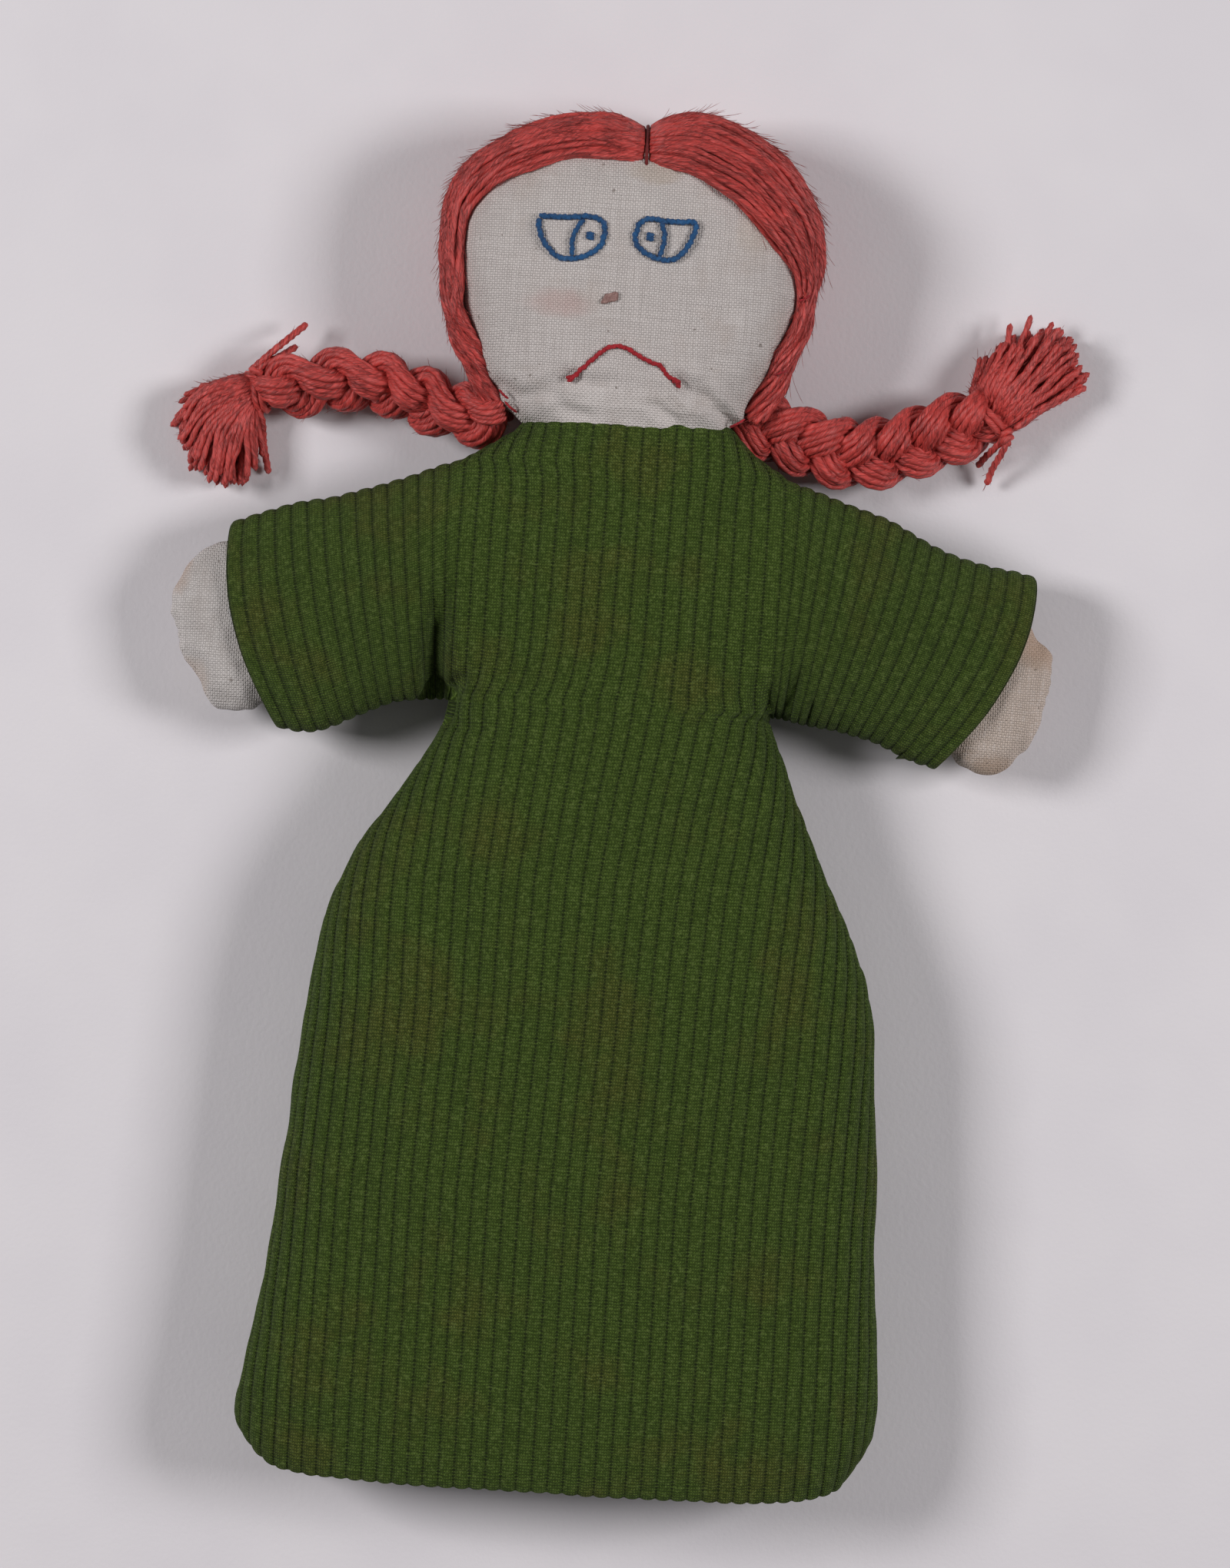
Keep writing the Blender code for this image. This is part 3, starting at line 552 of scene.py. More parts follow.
FULL = 2.2  # power of the superellipse that a section through the dress or a hand follows
HEM, ARMPIT, SHOULDER = -141.5, 21.5, 72.4
LEVEL_FROM = -118.0  # rows above this are level, and those below follow the hem
SKIRT_ROWS, CHEST_ROWS = 64, 24
LOW_ROW, HIGH_ROW = SKIRT_ROWS - 1, SKIRT_ROWS + CHEST_ROWS - 2  # the armpit's row and the shoulder's
SHOULDER_ROWS = (73.5, 74.8, 76.3, 77.9, 79.6, 81.2)
CHEST_RIBS = (-26, 14)  # first and last half rib between the sleeves
# The tables below give a value at each height, except HEM_RISE, which goes by share of the half width.
JOIN = {"left": 33.0, "right": 34.0}  # from the middle to where each sleeve starts
EDGE = {
    "left": table([
        (-135.5, 64.2), (-132, 67.2), (-130, 68.0), (-126, 67.7), (-120, 66.5), (-110, 65), (-100, 63.7),
        (-90, 62.5), (-80, 61.5), (-70, 60.3), (-60, 60.1), (-50, 59.3), (-40, 58.2), (-30, 56.9),
        (-25, 56.3), (-20, 54.8), (-10, 50.6), (-6, 48.5), (-2, 45.4), (2, 42.8), (6, 40), (10, 37.6),
        (14, 35.2), (18, 33.8), (21.5, 33), (72.4, 33), (73.5, 31), (74.8, 28.6), (76.3, 26.3),
        (77.9, 24.2), (79.6, 22.5), (81.2, 21.4)]),
    "right": table([
        (-135, 59.8), (-130, 63.4), (-126, 65.4), (-120, 65.8), (-110, 64.8), (-100, 63.9), (-90, 63.2),
        (-80, 62.9), (-70, 62.6), (-60, 61.7), (-50, 60.8), (-40, 60.1), (-30, 57.4), (-25, 54.8),
        (-20, 52.6), (-10, 47.6), (-6, 45.8), (-2, 43.8), (2, 42.2), (6, 40.2), (10, 38.8), (14, 37.2),
        (18, 35.4), (21.5, 34), (72.4, 34), (73.5, 32.4), (74.8, 30), (76.3, 27.6), (77.9, 25.4),
        (79.6, 23.4), (81.2, 21.4)])}
DEPTH = table([
    (-141.5, 15.5), (-136, 17), (-126, 17.8), (-80, 18.2), (-38, 18.2), (-24, 17.8), (-8, 17.2),
    (8, 16.6), (18, 16.2), (24, 16), (50, 14.6), (66, 12.9), (72.4, 12), (78, 11.3), (81.2, 10.6)])
HEM_RISE = table([
    (-1, 6), (-0.97, 3.7), (-0.913, 1.5), (-0.79, 0.6), (-0.5, 0.6), (0, 0.8), (0.5, 1.2),
    (0.66, 1.2), (0.874, 2.2), (0.95, 3.4), (0.988, 4.6), (1, 6)])
RIB_SHIFT = table([
    (-142, 1.4), (-78, 1.4), (-62, 2.1), (-46, 2.9), (-30, 3.3), (-14, 4.0), (2, 5.9), (18, 8.4),
    (34, 10.0), (49, 10.2), (65, 10.5), (82, 10.6)])
HALF_PITCH = table([(-142, 1.61), (-40, 1.61), (2, 1.7), (21.5, 1.76), (72.4, 1.76), (82, 1.72)])
RIB_DEPTH = 0.40

SLEEVE_COLUMNS = {"left": 30, "right": 34}
SPLITS = (6, 16)  # SPLITS = (6, 16) # the columns where the shoulder knit ends, and where the elbow knit ends
SLEEVE_LOW = {
    "left": [(33, 21.5), (36, 21.3), (40, 20.7), (44, 20), (48, 18.2), (52, 16.2), (56, 14),
             (60, 12.5), (64, 12.3), (69.2, 13.4)],
    "right": [(34, 21.5), (36, 21.6), (40, 20.8), (44, 20.3), (48, 20.1), (52, 19.2), (56, 18.2),
              (60, 16.6), (64, 14.8), (69.4, 13.6)]}
SLEEVE_TOP = {
    "left": [(33, 72.4), (36, 71.5), (40, 70), (44, 68.4), (48, 66.9), (52, 65.4), (56, 64),
             (60, 62.7), (64, 62), (68, 60.9), (72, 59.4), (76, 58.1), (81.4, 56)],
    "right": [(34, 72.4), (36, 72), (40, 70.9), (44, 69.4), (48, 68), (52, 66.8), (56, 65.6),
              (60, 63.8), (64, 61.9), (68, 60.2), (72, 58.8), (76, 58), (80, 57.2), (84, 56.7),
              (88, 55.6)]}
SLEEVE_DEPTH = table([(0, 12.4), (0.35, 12.0), (0.7, 11.3), (1, 10.5)])
SLEEVE_HALF_ROUND = 66.0  # how much knit goes round half of a sleeve
CUFF_BULGE = {"left": 4.0, "right": 5.2}
CUFF_MIDDLE = 35.0
TURNED = {
    # how far in the edge is pulled, how far inside its strip runs, and its zone
    "hem": (1.3, 12.0, 0), "neck": (1.2, 6.0, 0), "left": (1.2, 9.0, 3), "right": (1.2, 9.0, 6)}
DRESS_PIECES = ["dress_body"] + [
    f"{side}_{part}_knit" for side in SIDES for part in ("shoulder", "elbow", "sleeve")]
FOLDS = [
    # line, depth, width, and how strong it is where it starts
    ([(-35.6, 20.5), (-36.4, 26.7), (-36.3, 34.3), (-35.8, 40.7), (-34.3, 46.4)], 5.2, 1.9, 1.0),
    ([(-30.6, 27), (-32.1, 23.7), (-33.9, 21.2)], 1.7, 0.9, 0.3),
    ([(-41.6, 45.4), (-40.8, 39.1), (-39.6, 34.7)], 0.9, 1.0, 0.5),
    ([(-34.5, 17.2), (-27.3, 16.2), (-20.1, 15.7)], 0.8, 1.1, 0.4),
    ([(36.2, 20.6), (38.5, 29.1), (40.4, 33.6)], 1.9, 1.0, 0.2),
    ([(34.4, 20.6), (33.2, 26), (32.6, 31)], 1.5, 1.1, 0.2),
    ([(41.5, 20.5), (42.2, 24), (42.6, 27.5)], 0.9, 0.8, 0.2),
    ([(30, 8), (24, 2), (17, -6), (12, -16)], 0.8, 3.2, 0.5),
    ([(-38, -4), (-30, -22), (-25, -44)], 0.7, 4.0, 0.5),
    ([(42, -30), (39, -60), (40, -90)], 0.7, 4.5, 0.5),
    ([(-46, -60), (-43, -90), (-47, -120)], 0.6, 4.0, 0.5)]

SEAM_INSET, NECK_RING = 3.0, (18.9, 9.3, 78.2)  # the neck ring's half width, half depth and height
SEAM_YARN, SEAM_TWIST = 0.34, dict(sides=7, lobes=2, depth=0.2, pitch=2.0)


def seam_height(x):
    """The side seams' height: level over the body, falling towards the hands."""
    past, rounding, fall = np.abs(x) - 42.0, 6.0, 0.157
    return SEAM - fall * 0.5 * (past + np.sqrt(past ** 2 + rounding ** 2))


def back_drop(height, room):
    """The back's depth below the seam, flattened where it meets the table."""
    full = 1.16 * np.maximum(height, 1e-6)
    return (full ** -8.0 + np.maximum(room, 0.5) ** -8.0) ** (-1 / 8.0)


def chest_height(x, y):
    """Half depth of the body joined with the two sleeves' roots."""
    body = DEPTH(y) * hump(np.clip(x / np.where(x < 0, JOIN["left"], JOIN["right"]), -1, 1), FULL)
    across = (y - ARMPIT) / (SHOULDER - ARMPIT) * 2 - 1
    arm = SLEEVE_DEPTH(0) * hump(across, FULL) * smoothstep(np.abs(x), 2, 30)
    return (body ** 6 + arm ** 6) ** (1 / 6)


def dress_heights():
    """The height of each row of the dress, closer together at the armpit and the shoulder."""
    share = np.linspace(0, 1, CHEST_ROWS)
    eased = 0.45 * share + 0.55 * (1 - np.cos(math.pi * share)) / 2
    chest = ARMPIT + (SHOULDER - ARMPIT) * eased
    chest[-1] = SHOULDER
    return [*np.linspace(HEM, ARMPIT, SKIRT_ROWS), *chest[1:], *SHOULDER_ROWS]


def dress_row(y, back):
    """(first, last, x, y, z, rib) of the vertices in one row of a dress sheet."""
    fade = 1 - smoothstep(y, HEM, LEVEL_FROM)
    left = float(EDGE["left"](y + HEM_RISE(-1.0) * fade))
    right = float(EDGE["right"](y + HEM_RISE(1.0) * fade))
    chest = ARMPIT < y < SHOULDER
    if chest:
        x = np.linspace(-JOIN["left"], JOIN["right"], 400)
        height = chest_height(x, y)
    else:
        phi = np.linspace(-math.pi / 2, math.pi / 2, 401)
        x = np.abs(np.sin(phi)) ** (2 / FULL) * np.where(phi < 0, -left, right)
        height = DEPTH(y) * np.cos(phi) ** (2 / FULL)
    height = np.maximum(height, 0)
    z = SEAM - back_drop(height, SEAM - 0.1) if back else SEAM + height
    reach = lengths(np.stack([x, z], 1))
    reach -= np.interp(0, x, reach)
    half, shift = float(HALF_PITCH(y)), float(RIB_SHIFT(y))
    if chest:
        first, last = CHEST_RIBS
        at = np.linspace(reach[0], reach[-1], last - first + 1)
        at = at + (shift - at[-first]) * (1 - (at / np.where(at < 0, reach[0], reach[-1])) ** 2)
        rib = np.arange(first, last + 1) / 2
    else:
        first = math.ceil((reach[0] + 0.4 * half - shift) / half) - 1
        last = math.floor((reach[-1] - 0.4 * half - shift) / half) + 1
        at = np.arange(first, last + 1) * half + shift
        at[0], at[-1] = reach[0], reach[-1]
        rib = (at - shift) / half / 2
    xs, zs = np.interp(at, reach, x), np.interp(at, reach, z)
    share = np.where(xs < 0, xs / left, xs / right)
    tilt = 0.045 * xs * smoothstep(y, 75, 81)
    return first, last, xs, y + HEM_RISE(share) * fade + tilt, zs, rib


class Cloth:
    """Vertices with their place in the knit, and faces with their zone."""

    def __init__(self):
        self.points, self.coords, self.faces, self.loops, self.zones = [], [], [], [], []

    def vertex(self, x, y, z, rib, reach):
        self.points.append((x, y, z))
        self.coords.append((rib, reach))
        return len(self.points) - 1

    def face(self, corners, zone, flip=False):
        """A face without its repeated corners, left out when fewer than three stay."""
        kept = [c for k, c in enumerate(corners) if c != corners[k - 1]]
        if len(kept) < 3:
            return
        if flip:
            kept = kept[::-1]
        self.faces.append(kept)
        self.loops.extend(self.coords[c] for c in kept)
        self.zones.append(zone)


def nearest(row, i):
    """A row's vertex on half rib i, or the one at its end."""
    first, last, ids = row
    return ids[min(max(i, first), last) - first]


def add_body(cloth):
    """The body's front and back sheets: for each, its rows as (first, last, vertices)."""
    grid = {False: [], True: []}
    for j, y in enumerate(dress_heights()):
        for back, rows in grid.items():
            first, last, xs, ys, zs, rib = dress_row(y, back)
            sewn = back and not LOW_ROW < j < HIGH_ROW
            ids = []
            for k in range(last - first + 1):
                if sewn and k in (0, last - first):
                    ids.append(grid[False][j][2][0 if k == 0 else -1])
                else:
                    ids.append(cloth.vertex(xs[k], ys[k], zs[k], rib[k], y))
            rows.append((first, last, ids))
    for back, rows in grid.items():
        for row, above in zip(rows, rows[1:]):
            for i in range(min(row[0], above[0]), max(row[1], above[1])):
                corners = [nearest(row, i), nearest(row, i + 1), nearest(above, i + 1), nearest(above, i)]
                cloth.face(corners, 0, back)
    return grid


def sleeve_edges(side):
    """The sleeve's lower and upper edge, one point for each column."""
    shares = np.linspace(0, 1, SLEEVE_COLUMNS[side] + 1)
    return along(SLEEVE_LOW[side], shares ** 1.3), along(SLEEVE_TOP[side], shares)


def add_sleeve(cloth, grid, side, sign):
    """A sleeve that grows from the body's row ends. Returns its last column, front and back."""
    low, top = sleeve_edges(side)
    heights = dress_heights()[LOW_ROW:HIGH_ROW + 1]
    middle = 47.0
    end = 0 if sign < 0 else -1
    previous = {back: [row[2][end] for row in rows[LOW_ROW:HIGH_ROW + 1]] for back, rows in grid.items()}
    for k in range(1, SLEEVE_COLUMNS[side] + 1):
        share = k / SLEEVE_COLUMNS[side]
        zone = (1 if sign < 0 else 4) + sum(k > split for split in SPLITS)
        rib = (CHEST_RIBS[0] - k if sign < 0 else CHEST_RIBS[1] + k) / 2
        current = {False: [], True: []}
        for back, column in current.items():
            for m, y in enumerate(heights):
                if back and m in (0, len(heights) - 1):
                    column.append(current[False][m])
                    continue
                t = (y - ARMPIT) / (SHOULDER - ARMPIT)
                x, up = low[k] * (1 - t) + top[k] * t
                x += CUFF_BULGE[side] * 4 * t * (1 - t) * share ** 2
                height = float(SLEEVE_DEPTH(share)) * float(hump(2 * t - 1, FULL))
                seam = float(seam_height(x))
                z = seam + height
                if back and height > 0:
                    z = seam - float(back_drop(height, seam - 0.3))
                arc = middle + (t - 0.5) * SLEEVE_HALF_ROUND
                reach = y + (arc - y) * float(smoothstep(k, 0, 8))
                column.append(cloth.vertex(sign * x, up, z, rib, reach))
            for m in range(len(heights) - 1):
                corners = [previous[back][m], previous[back][m + 1], column[m + 1], column[m]]
                cloth.face(corners, zone, back != (sign > 0))
        previous = current
    return previous


def turned_in(name, point, coord, pull, travel):
    """An edge's point pulled towards the middle and moved inside, with its place in the knit."""
    x, y, z = point
    rib, reach = coord
    if name in SIDES:
        sign, seam = SIDES[name], float(seam_height(x))
        y = CUFF_MIDDLE + (y - CUFF_MIDDLE) * (1 - pull / 20)
        z = seam + (z - seam) * (1 - pull / 10.5)
        return x - sign * travel, y, z, rib - sign * (0.3 + travel / 3.4), reach
    way, wide, deep = (1, 60, 15) if name == "hem" else (-1, 20, 10)
    z = SEAM + (z - SEAM) * (1 - pull / deep)
    return x * (1 - pull / wide), y + way * travel, z, rib, reach - way * (travel + 1)


def turn_edge(cloth, name, rings):
    """A turned edge: one narrow fold, then a strip inside."""
    inset, inward, zone = TURNED[name]
    copies = {}
    for ring in rings:
        for step, (pull, travel) in enumerate(((inset, 0.3), (inset * 1.25, inward))):
            for c in ring:
                if (step, c) not in copies:
                    moved = turned_in(name, cloth.points[c], cloth.coords[c], pull, travel)
                    copies[step, c] = cloth.vertex(*moved)
        for a, b in zip(ring, ring[1:]):
            cloth.face([a, b, copies[0, b], copies[0, a]], zone)
            cloth.face([copies[0, a], copies[0, b], copies[1, b], copies[1, a]], zone)


def build_dress():
    """The coarse dress: two knitted sheets joined at the seams, with turned edges."""
    cloth = Cloth()
    grid = add_body(cloth)
    edges = {"hem": [rows[0][2] for rows in grid.values()], "neck": [rows[-1][2] for rows in grid.values()]}
    for side, sign in SIDES.items():
        edges[side] = add_sleeve(cloth, grid, side, sign).values()
    for name, rings in edges.items():
        turn_edge(cloth, name, rings)
    obj = mesh_object("dress_coarse", cloth.points, cloth.faces, GREEN, cloth.loops)
    set_zones(obj, cloth.zones, GREEN)
    face_outward(obj)
    return obj


def near_line(points, line, count):
    """Each point's distance from a line, and how far along the line it is."""
    line = curve(line, count)
    gap = np.linalg.norm(points[:, None, :2] - line[None, :, :], axis=2)
    return gap.min(1), gap.argmin(1) / (count - 1)


def finish_dress(obj):
    """Smooth the dress, press in its ribs and folds, and keep it above the table."""
    subdivided(obj, 2)
    mesh = obj.data
    points, outward = positions(mesh), normals(mesh)
    rib = vertex_rib(mesh)
    groove = np.abs(rib - np.round(rib))
    crest = 1 - 0.60 * np.exp(-(groove / 0.17) ** 2) - 0.40 * (1 - np.sin(math.pi * groove))
    lift = -RIB_DEPTH * (1 - crest) * (1 - 0.75 * smoothstep(points[:, 1], 78.5, 81))
    near = points[:, 2] > 2
    lift[near] += 0.55 * field(points[near], 26.0, 3.0) + 0.28 * field(points[near], 9.0, 7.0)
    front = outward[:, 2] > -0.05
    for line, depth, width, start in FOLDS:
        gap, share = near_line(points[front], line, 24)
        fade = np.clip((1 - share) * 2.2, 0, 1) * np.clip(share * 3 + start, 0, 1)
        lift[front] -= depth * bell(gap, width) * fade
    points = points + outward * lift[:, None]
    points[:, 2] = np.maximum(points[:, 2], 0.05)
    place_vertices(mesh, points)


def bend_sleeve(pieces, side):
    """Keep the shoulder and elbow knit where they lie, and let the sleeve's knit ride on the arm."""
    lift, fold, end = (pieces[f"{side}_{part}_knit"] for part in ("shoulder", "elbow", "sleeve"))
    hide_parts(f"{side}_armhole")
    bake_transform(lift)
    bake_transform(fold)
    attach(end, f"{side}_arm")
    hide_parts(f"{side}_sleeve_front", f"{side}_sleeve_back")


def dress():
    coarse = build_dress()
    finish_dress(coarse)
    pieces = split_by_zone(coarse, DRESS_PIECES, GREEN)
    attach(pieces["dress_body"], "dress")
    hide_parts("dress_front", "dress_back", "hem_turning")
    for side, sign in SIDES.items():
        bend_sleeve(pieces, side)


def seam_thread(name, path, node):
    tubes = Tubes()
    tubes.add(path, SEAM_YARN, **SEAM_TWIST)
    wear(tubes.build(name, SEAM_THREAD), "dress", "green_thread", node)


def seams():
    """The sewing thread inside the side seams and round the neck."""
    heights = np.arange(-124, 12, 0.7)
    zigzag = np.where(np.arange(len(heights)) % 4 < 2, 0.5, -0.5)
    for side, sign in SIDES.items():
        edge = EDGE[side](heights)
        path = np.stack([sign * (edge - SEAM_INSET), heights, seam_height(edge) + zigzag], 1)
        seam_thread(f"{side}_seam_thread", path, f"{side}_side_seam")
    turn = np.linspace(0, TURN, 160)
    wide, deep, height = NECK_RING
    ring = [wide * np.cos(turn), height + 0.3 * np.sign(np.sin(turn * 24)), SEAM + deep * np.sin(turn)]
    seam_thread("neck_seam_thread", np.stack(ring, 1), "neck_seam")


# ---------------------------------------------------------------- head

HEAD = np.array([
    # height, left half width, right half width, half depth
    (66.0, 15.5, 15.5, 7.6), (70.0, 16.5, 16.5, 8.0), (74.0, 17.6, 17.6, 8.6), (77.0, 18.6, 18.6, 9.2),
    (79.5, 20.2, 19.8, 9.9), (81.5, 23.2, 21.8, 11.0), (84.0, 26.4, 24.0, 12.8), (88.0, 29.4, 26.4, 14.4),
    (92.0, 31.7, 28.6, 15.2), (97.0, 33.7, 30.9, 15.9), (103.0, 35.4, 33.2, 16.4),
    (109.0, 36.8, 34.8, 16.9), (116.0, 37.2, 35.4, 17.0), (122.0, 36.4, 34.8, 16.6),
    (128.0, 33.8, 32.6, 15.7), (133.0, 29.2, 28.6, 14.0), (137.0, 23.0, 23.0, 11.4),
    (139.6, 16.6, 16.6, 8.6), (141.4, 8.6, 8.6, 5.0)])
HEAD_TOP, HEAD_ROWS, HEAD_SIDES = 142.2, 58, 72
HEAD_BACK = 0.88  # the back's depth as a share of the front's
NECK_START, NECK_LOW, NECK_HIGH = 70.0, 77.0, 84.0
PUCKERS = [
    # line, depth and width
    ([(10.5, 90.2), (15.0, 86.6), (20.5, 82.8)], 0.75, 1.1),
    ([(14.5, 90.0), (18.0, 86.0), (22.0, 82.6)], 0.55, 0.9),
    ([(5.5, 84.6), (9.5, 82.2), (11.0, 80.6)], 0.55, 0.9),
    ([(-27.0, 86.8), (-21.0, 84.8), (-12.0, 89.6)], 0.55, 1.3),
    ([(-15.0, 84.8), (-12.0, 82.6), (-8.0, 81.8)], 0.35, 1.0),
    ([(-12.2, 89.8), (-9.0, 88.6), (-4.0, 88.8)], 0.40, 1.0),
    ([(9.5, 91.1), (12.5, 88.0), (16.0, 87.0)], 0.45, 1.0)]


def head_size(y):
    """Left half width, right half width and half depth of the head at this height."""
    return [np.interp(y, HEAD[:, 0], HEAD[:, k]) for k in (1, 2, 3)]


def head_front(x, y):
    """Height of the head cloth's front at these points."""
    left, right, depth = head_size(y)
    share = np.where(np.asarray(x) < 0, x / left, x / right)
    return SEAM + depth * hump(np.clip(share, -1, 1), 2.5)


def build_head():
    """Head and neck: two calico sheets sewn round the edge, stuffed full."""
    heights = np.interp(np.linspace(0, 1, HEAD_ROWS), np.linspace(0, 1, len(HEAD)), HEAD[:, 0])
    heights = np.sort(np.append(heights, (NECK_LOW, NECK_HIGH)))
    sides = HEAD_SIDES
    points, faces, zones = [], [], []
    for y in heights:
        left, right, depth = head_size(y)
        for k in range(sides):
            c, s = math.cos(TURN * k / sides), math.sin(TURN * k / sides)
            x = abs(c) ** (2 / 2.4) * (right if c > 0 else -left)
            z = abs(s) ** (2 / 2.4) * depth * (1 if s > 0 else -HEAD_BACK)
            points.append((x, y, SEAM + z))
    for j in range(len(heights) - 1):
        middle = (heights[j] + heights[j + 1]) / 2
        for k in range(sides):
            n = (k + 1) % sides
            faces.append((j * sides + k, (j + 1) * sides + k, (j + 1) * sides + n, j * sides + n))
            zones.append(int(middle >= NECK_LOW) + int(middle >= NECK_HIGH))
    top = len(points)
    points.append((0, HEAD_TOP, SEAM))
    for k in range(sides):
        faces.append((top - sides + k, top, top - sides + (k + 1) % sides))
        zones.append(2)
    obj = mesh_object("head_whole", points, faces, FACE)
    set_zones(obj, zones, FACE)
    subdivided(obj, 1)
    return obj


def shape_head(mesh):
    """Uneven stuffing, the puckers round the mouth and chin, and a gathered edge seam."""
    points, outward = positions(mesh), normals(mesh)
    lift = 0.45 * field(points, 17.0, 1.0) + 0.16 * field(points, 5.0, 4.0)
    front = outward[:, 2] > 0
    for line, depth, width in PUCKERS:
        gap, share = near_line(points, line, 20)
        pressed = 1.5 * depth * bell(gap, width) * (1 - share * 0.3)
        rim = 0.6 * depth * bell(gap - 2.2 * width, width)
        lift += np.where(front, rim - pressed, 0)
    edge = 1 - np.abs(outward[:, 2])
    lift += 0.22 * edge * np.sin(points[:, 0] * 1.4) * (points[:, 1] > 80)
    place_vertices(mesh, points + outward * lift[:, None])


def head():
    whole = build_head()
    shape_head(whole.data)
    names = ["neck_low_cloth", "neck_high_cloth", "head_cloth"]
    low, high, ball = split_by_zone(whole, names, FACE).values()
    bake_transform(low)
    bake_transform(high)
    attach(ball, "head")
    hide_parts("neck_cloth")
    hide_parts("head_front", "head_back", "head_stuffing")


# ---------------------------------------------------------------- needlework on the face

EYES = {
    "left": {
        "outline": [(-21.0, 123.3), (-15.0, 123.5), (-10.6, 123.9), (-8.0, 123.2), (-7.1, 121.3),
                    (-7.7, 118.3), (-10.1, 116.1), (-13.3, 114.9), (-16.6, 115.2), (-19.0, 117.2),
                    (-20.5, 119.9), (-21.2, 122.9)],
        "iris": [(-11.6, 123.3), (-13.1, 121.0), (-13.8, 118.1), (-13.6, 115.4)],
        "pupil": (-10.1, 119.8)},
    "right": {
        "outline": [(12.0, 124.1), (6.0, 123.9), (2.1, 124.2), (0.0, 122.9), (-0.7, 119.8),
                    (0.9, 117.5), (4.9, 115.9), (7.6, 116.2), (9.7, 118.0), (11.2, 120.9), (12.1, 123.8)],
        "iris": [(4.3, 123.7), (5.3, 121.6), (5.2, 118.8), (4.5, 116.4)],
        "pupil": (2.4, 120.4)}}
NOSE = [[(-6.8 + 0.2 * k, 106.5 + 0.42 * k), (-5.0 + 0.1 * k, 107.1 + 0.45 * k), (-3.4, 107.7 + 0.3 * k)]
        for k in (-1, 0, 1, 2)]
MOUTH = [
    # the mouth, then two short stitches at each of its ends
    [(-12.2, 89.8), (-8.6, 93.6), (-6.2, 95.9), (-4.1, 97.2), (-1.8, 97.3), (0.6, 96.2), (3.4, 94.8),
     (6.3, 93.8), (7.6, 92.2), (9.8, 90.9)],
    [(-12.9, 89.3), (-12.0, 89.9), (-11.6, 91.0)], [(9.0, 91.4), (10.2, 90.3), (10.6, 89.4)],
    [(-13.2, 90.0), (-12.4, 90.2), (-11.5, 89.8)], [(8.9, 90.6), (9.9, 90.9), (10.8, 90.5)]]


def stitched(name, lines, material, slot, radius, pitch, node):
    """Embroidery thread lying on the face along these lines, as a row of slanted stitches."""
    tubes = Tubes()
    for line in lines:
        line = np.asarray(line, float)
        path = curve(seen(line, head_front(line[:, 0], line[:, 1])), max(8, int(lengths(line)[-1] / 0.28)))
        flat = np.column_stack([path, np.zeros(len(path))])
        beat = math.pi * lengths(path) / pitch
        stitch = np.abs(np.sin(beat))
        z = head_front(path[:, 0], path[:, 1]) + 0.30 + 0.12 * stitch + 0.25 * field(flat, 1.4)
        wobble = 0.07 * np.sin(2 * beat) + 0.12 * field(flat, 2.2, 3.0)
        tangent = unit(np.gradient(path, axis=0))
        path = path + np.stack([-tangent[:, 1], tangent[:, 0]], 1) * wobble[:, None]
        width = radius * (0.90 + 0.16 * stitch)
        tubes.add(np.column_stack([path, z]), width, sides=10, lobes=2, depth=0.2, pitch=pitch, taper=0.5)
    wear(tubes.build(name, material), "head", slot, node)


def embroidery():
    for side, eye in EYES.items():
        x, y = eye["pupil"]
        pupil = [[(x - 0.9, y + 0.5 * k), (x, y + 0.5 * k + 0.1), (x + 0.9, y + 0.5 * k)] for k in (-1, 0, 1)]
        for name, lines, radius, pitch, node in [
                ("eye_line", [eye["outline"]], 0.56, 2.2, "eye_outline"),
                ("iris_line", [eye["iris"]], 0.50, 2.0, "iris"),
                ("pupil_knot", pupil, 0.36, 1.6, "pupil")]:
            stitched(f"{side}_{name}", lines, BLUE, "blue_thread", radius, pitch, f"{side}_{node}")
    stitched("nose_satin", NOSE, BROWN, "brown_thread", 0.36, 1.8, "nose_stitch")
    stitched("mouth_line", MOUTH, RED, "red_thread", 0.46, 2.3, "mouth_stitch")


# ---------------------------------------------------------------- hands

HANDS = {
    "left": [(74, 50), (81.1, 51.5), (84.9, 50.5), (88.3, 47.8), (90.8, 44.5), (92.5, 40.4), (92.5, 37.2),
             (90.9, 32.8), (89.6, 27.5), (86.6, 24.1), (84.2, 19.8), (81.7, 16.8), (77.4, 16.6),
             (74.6, 16.9), (71.0, 19.0), (66, 24), (64, 36), (68, 46)],
    "right": [(78, 49), (84, 47.5), (88.6, 42.6), (91.2, 40.8), (92.5, 38.1), (91.6, 31.8), (90.2, 24.5),
              (88.7, 19.6), (86.4, 17.6), (85.2, 15.9), (83.5, 14.6), (81.3, 13.4), (78.6, 13.6),
              (75.4, 14.4), (71.5, 17.2), (68, 24), (67, 36), (71, 45)]}
HAND_MIDDLE = {"left": np.array([80.5, 33.0]), "right": np.array([81.5, 33.0])}
HAND_DEPTH, HAND_POINTS, HAND_RINGS = 8.2, 96, 16


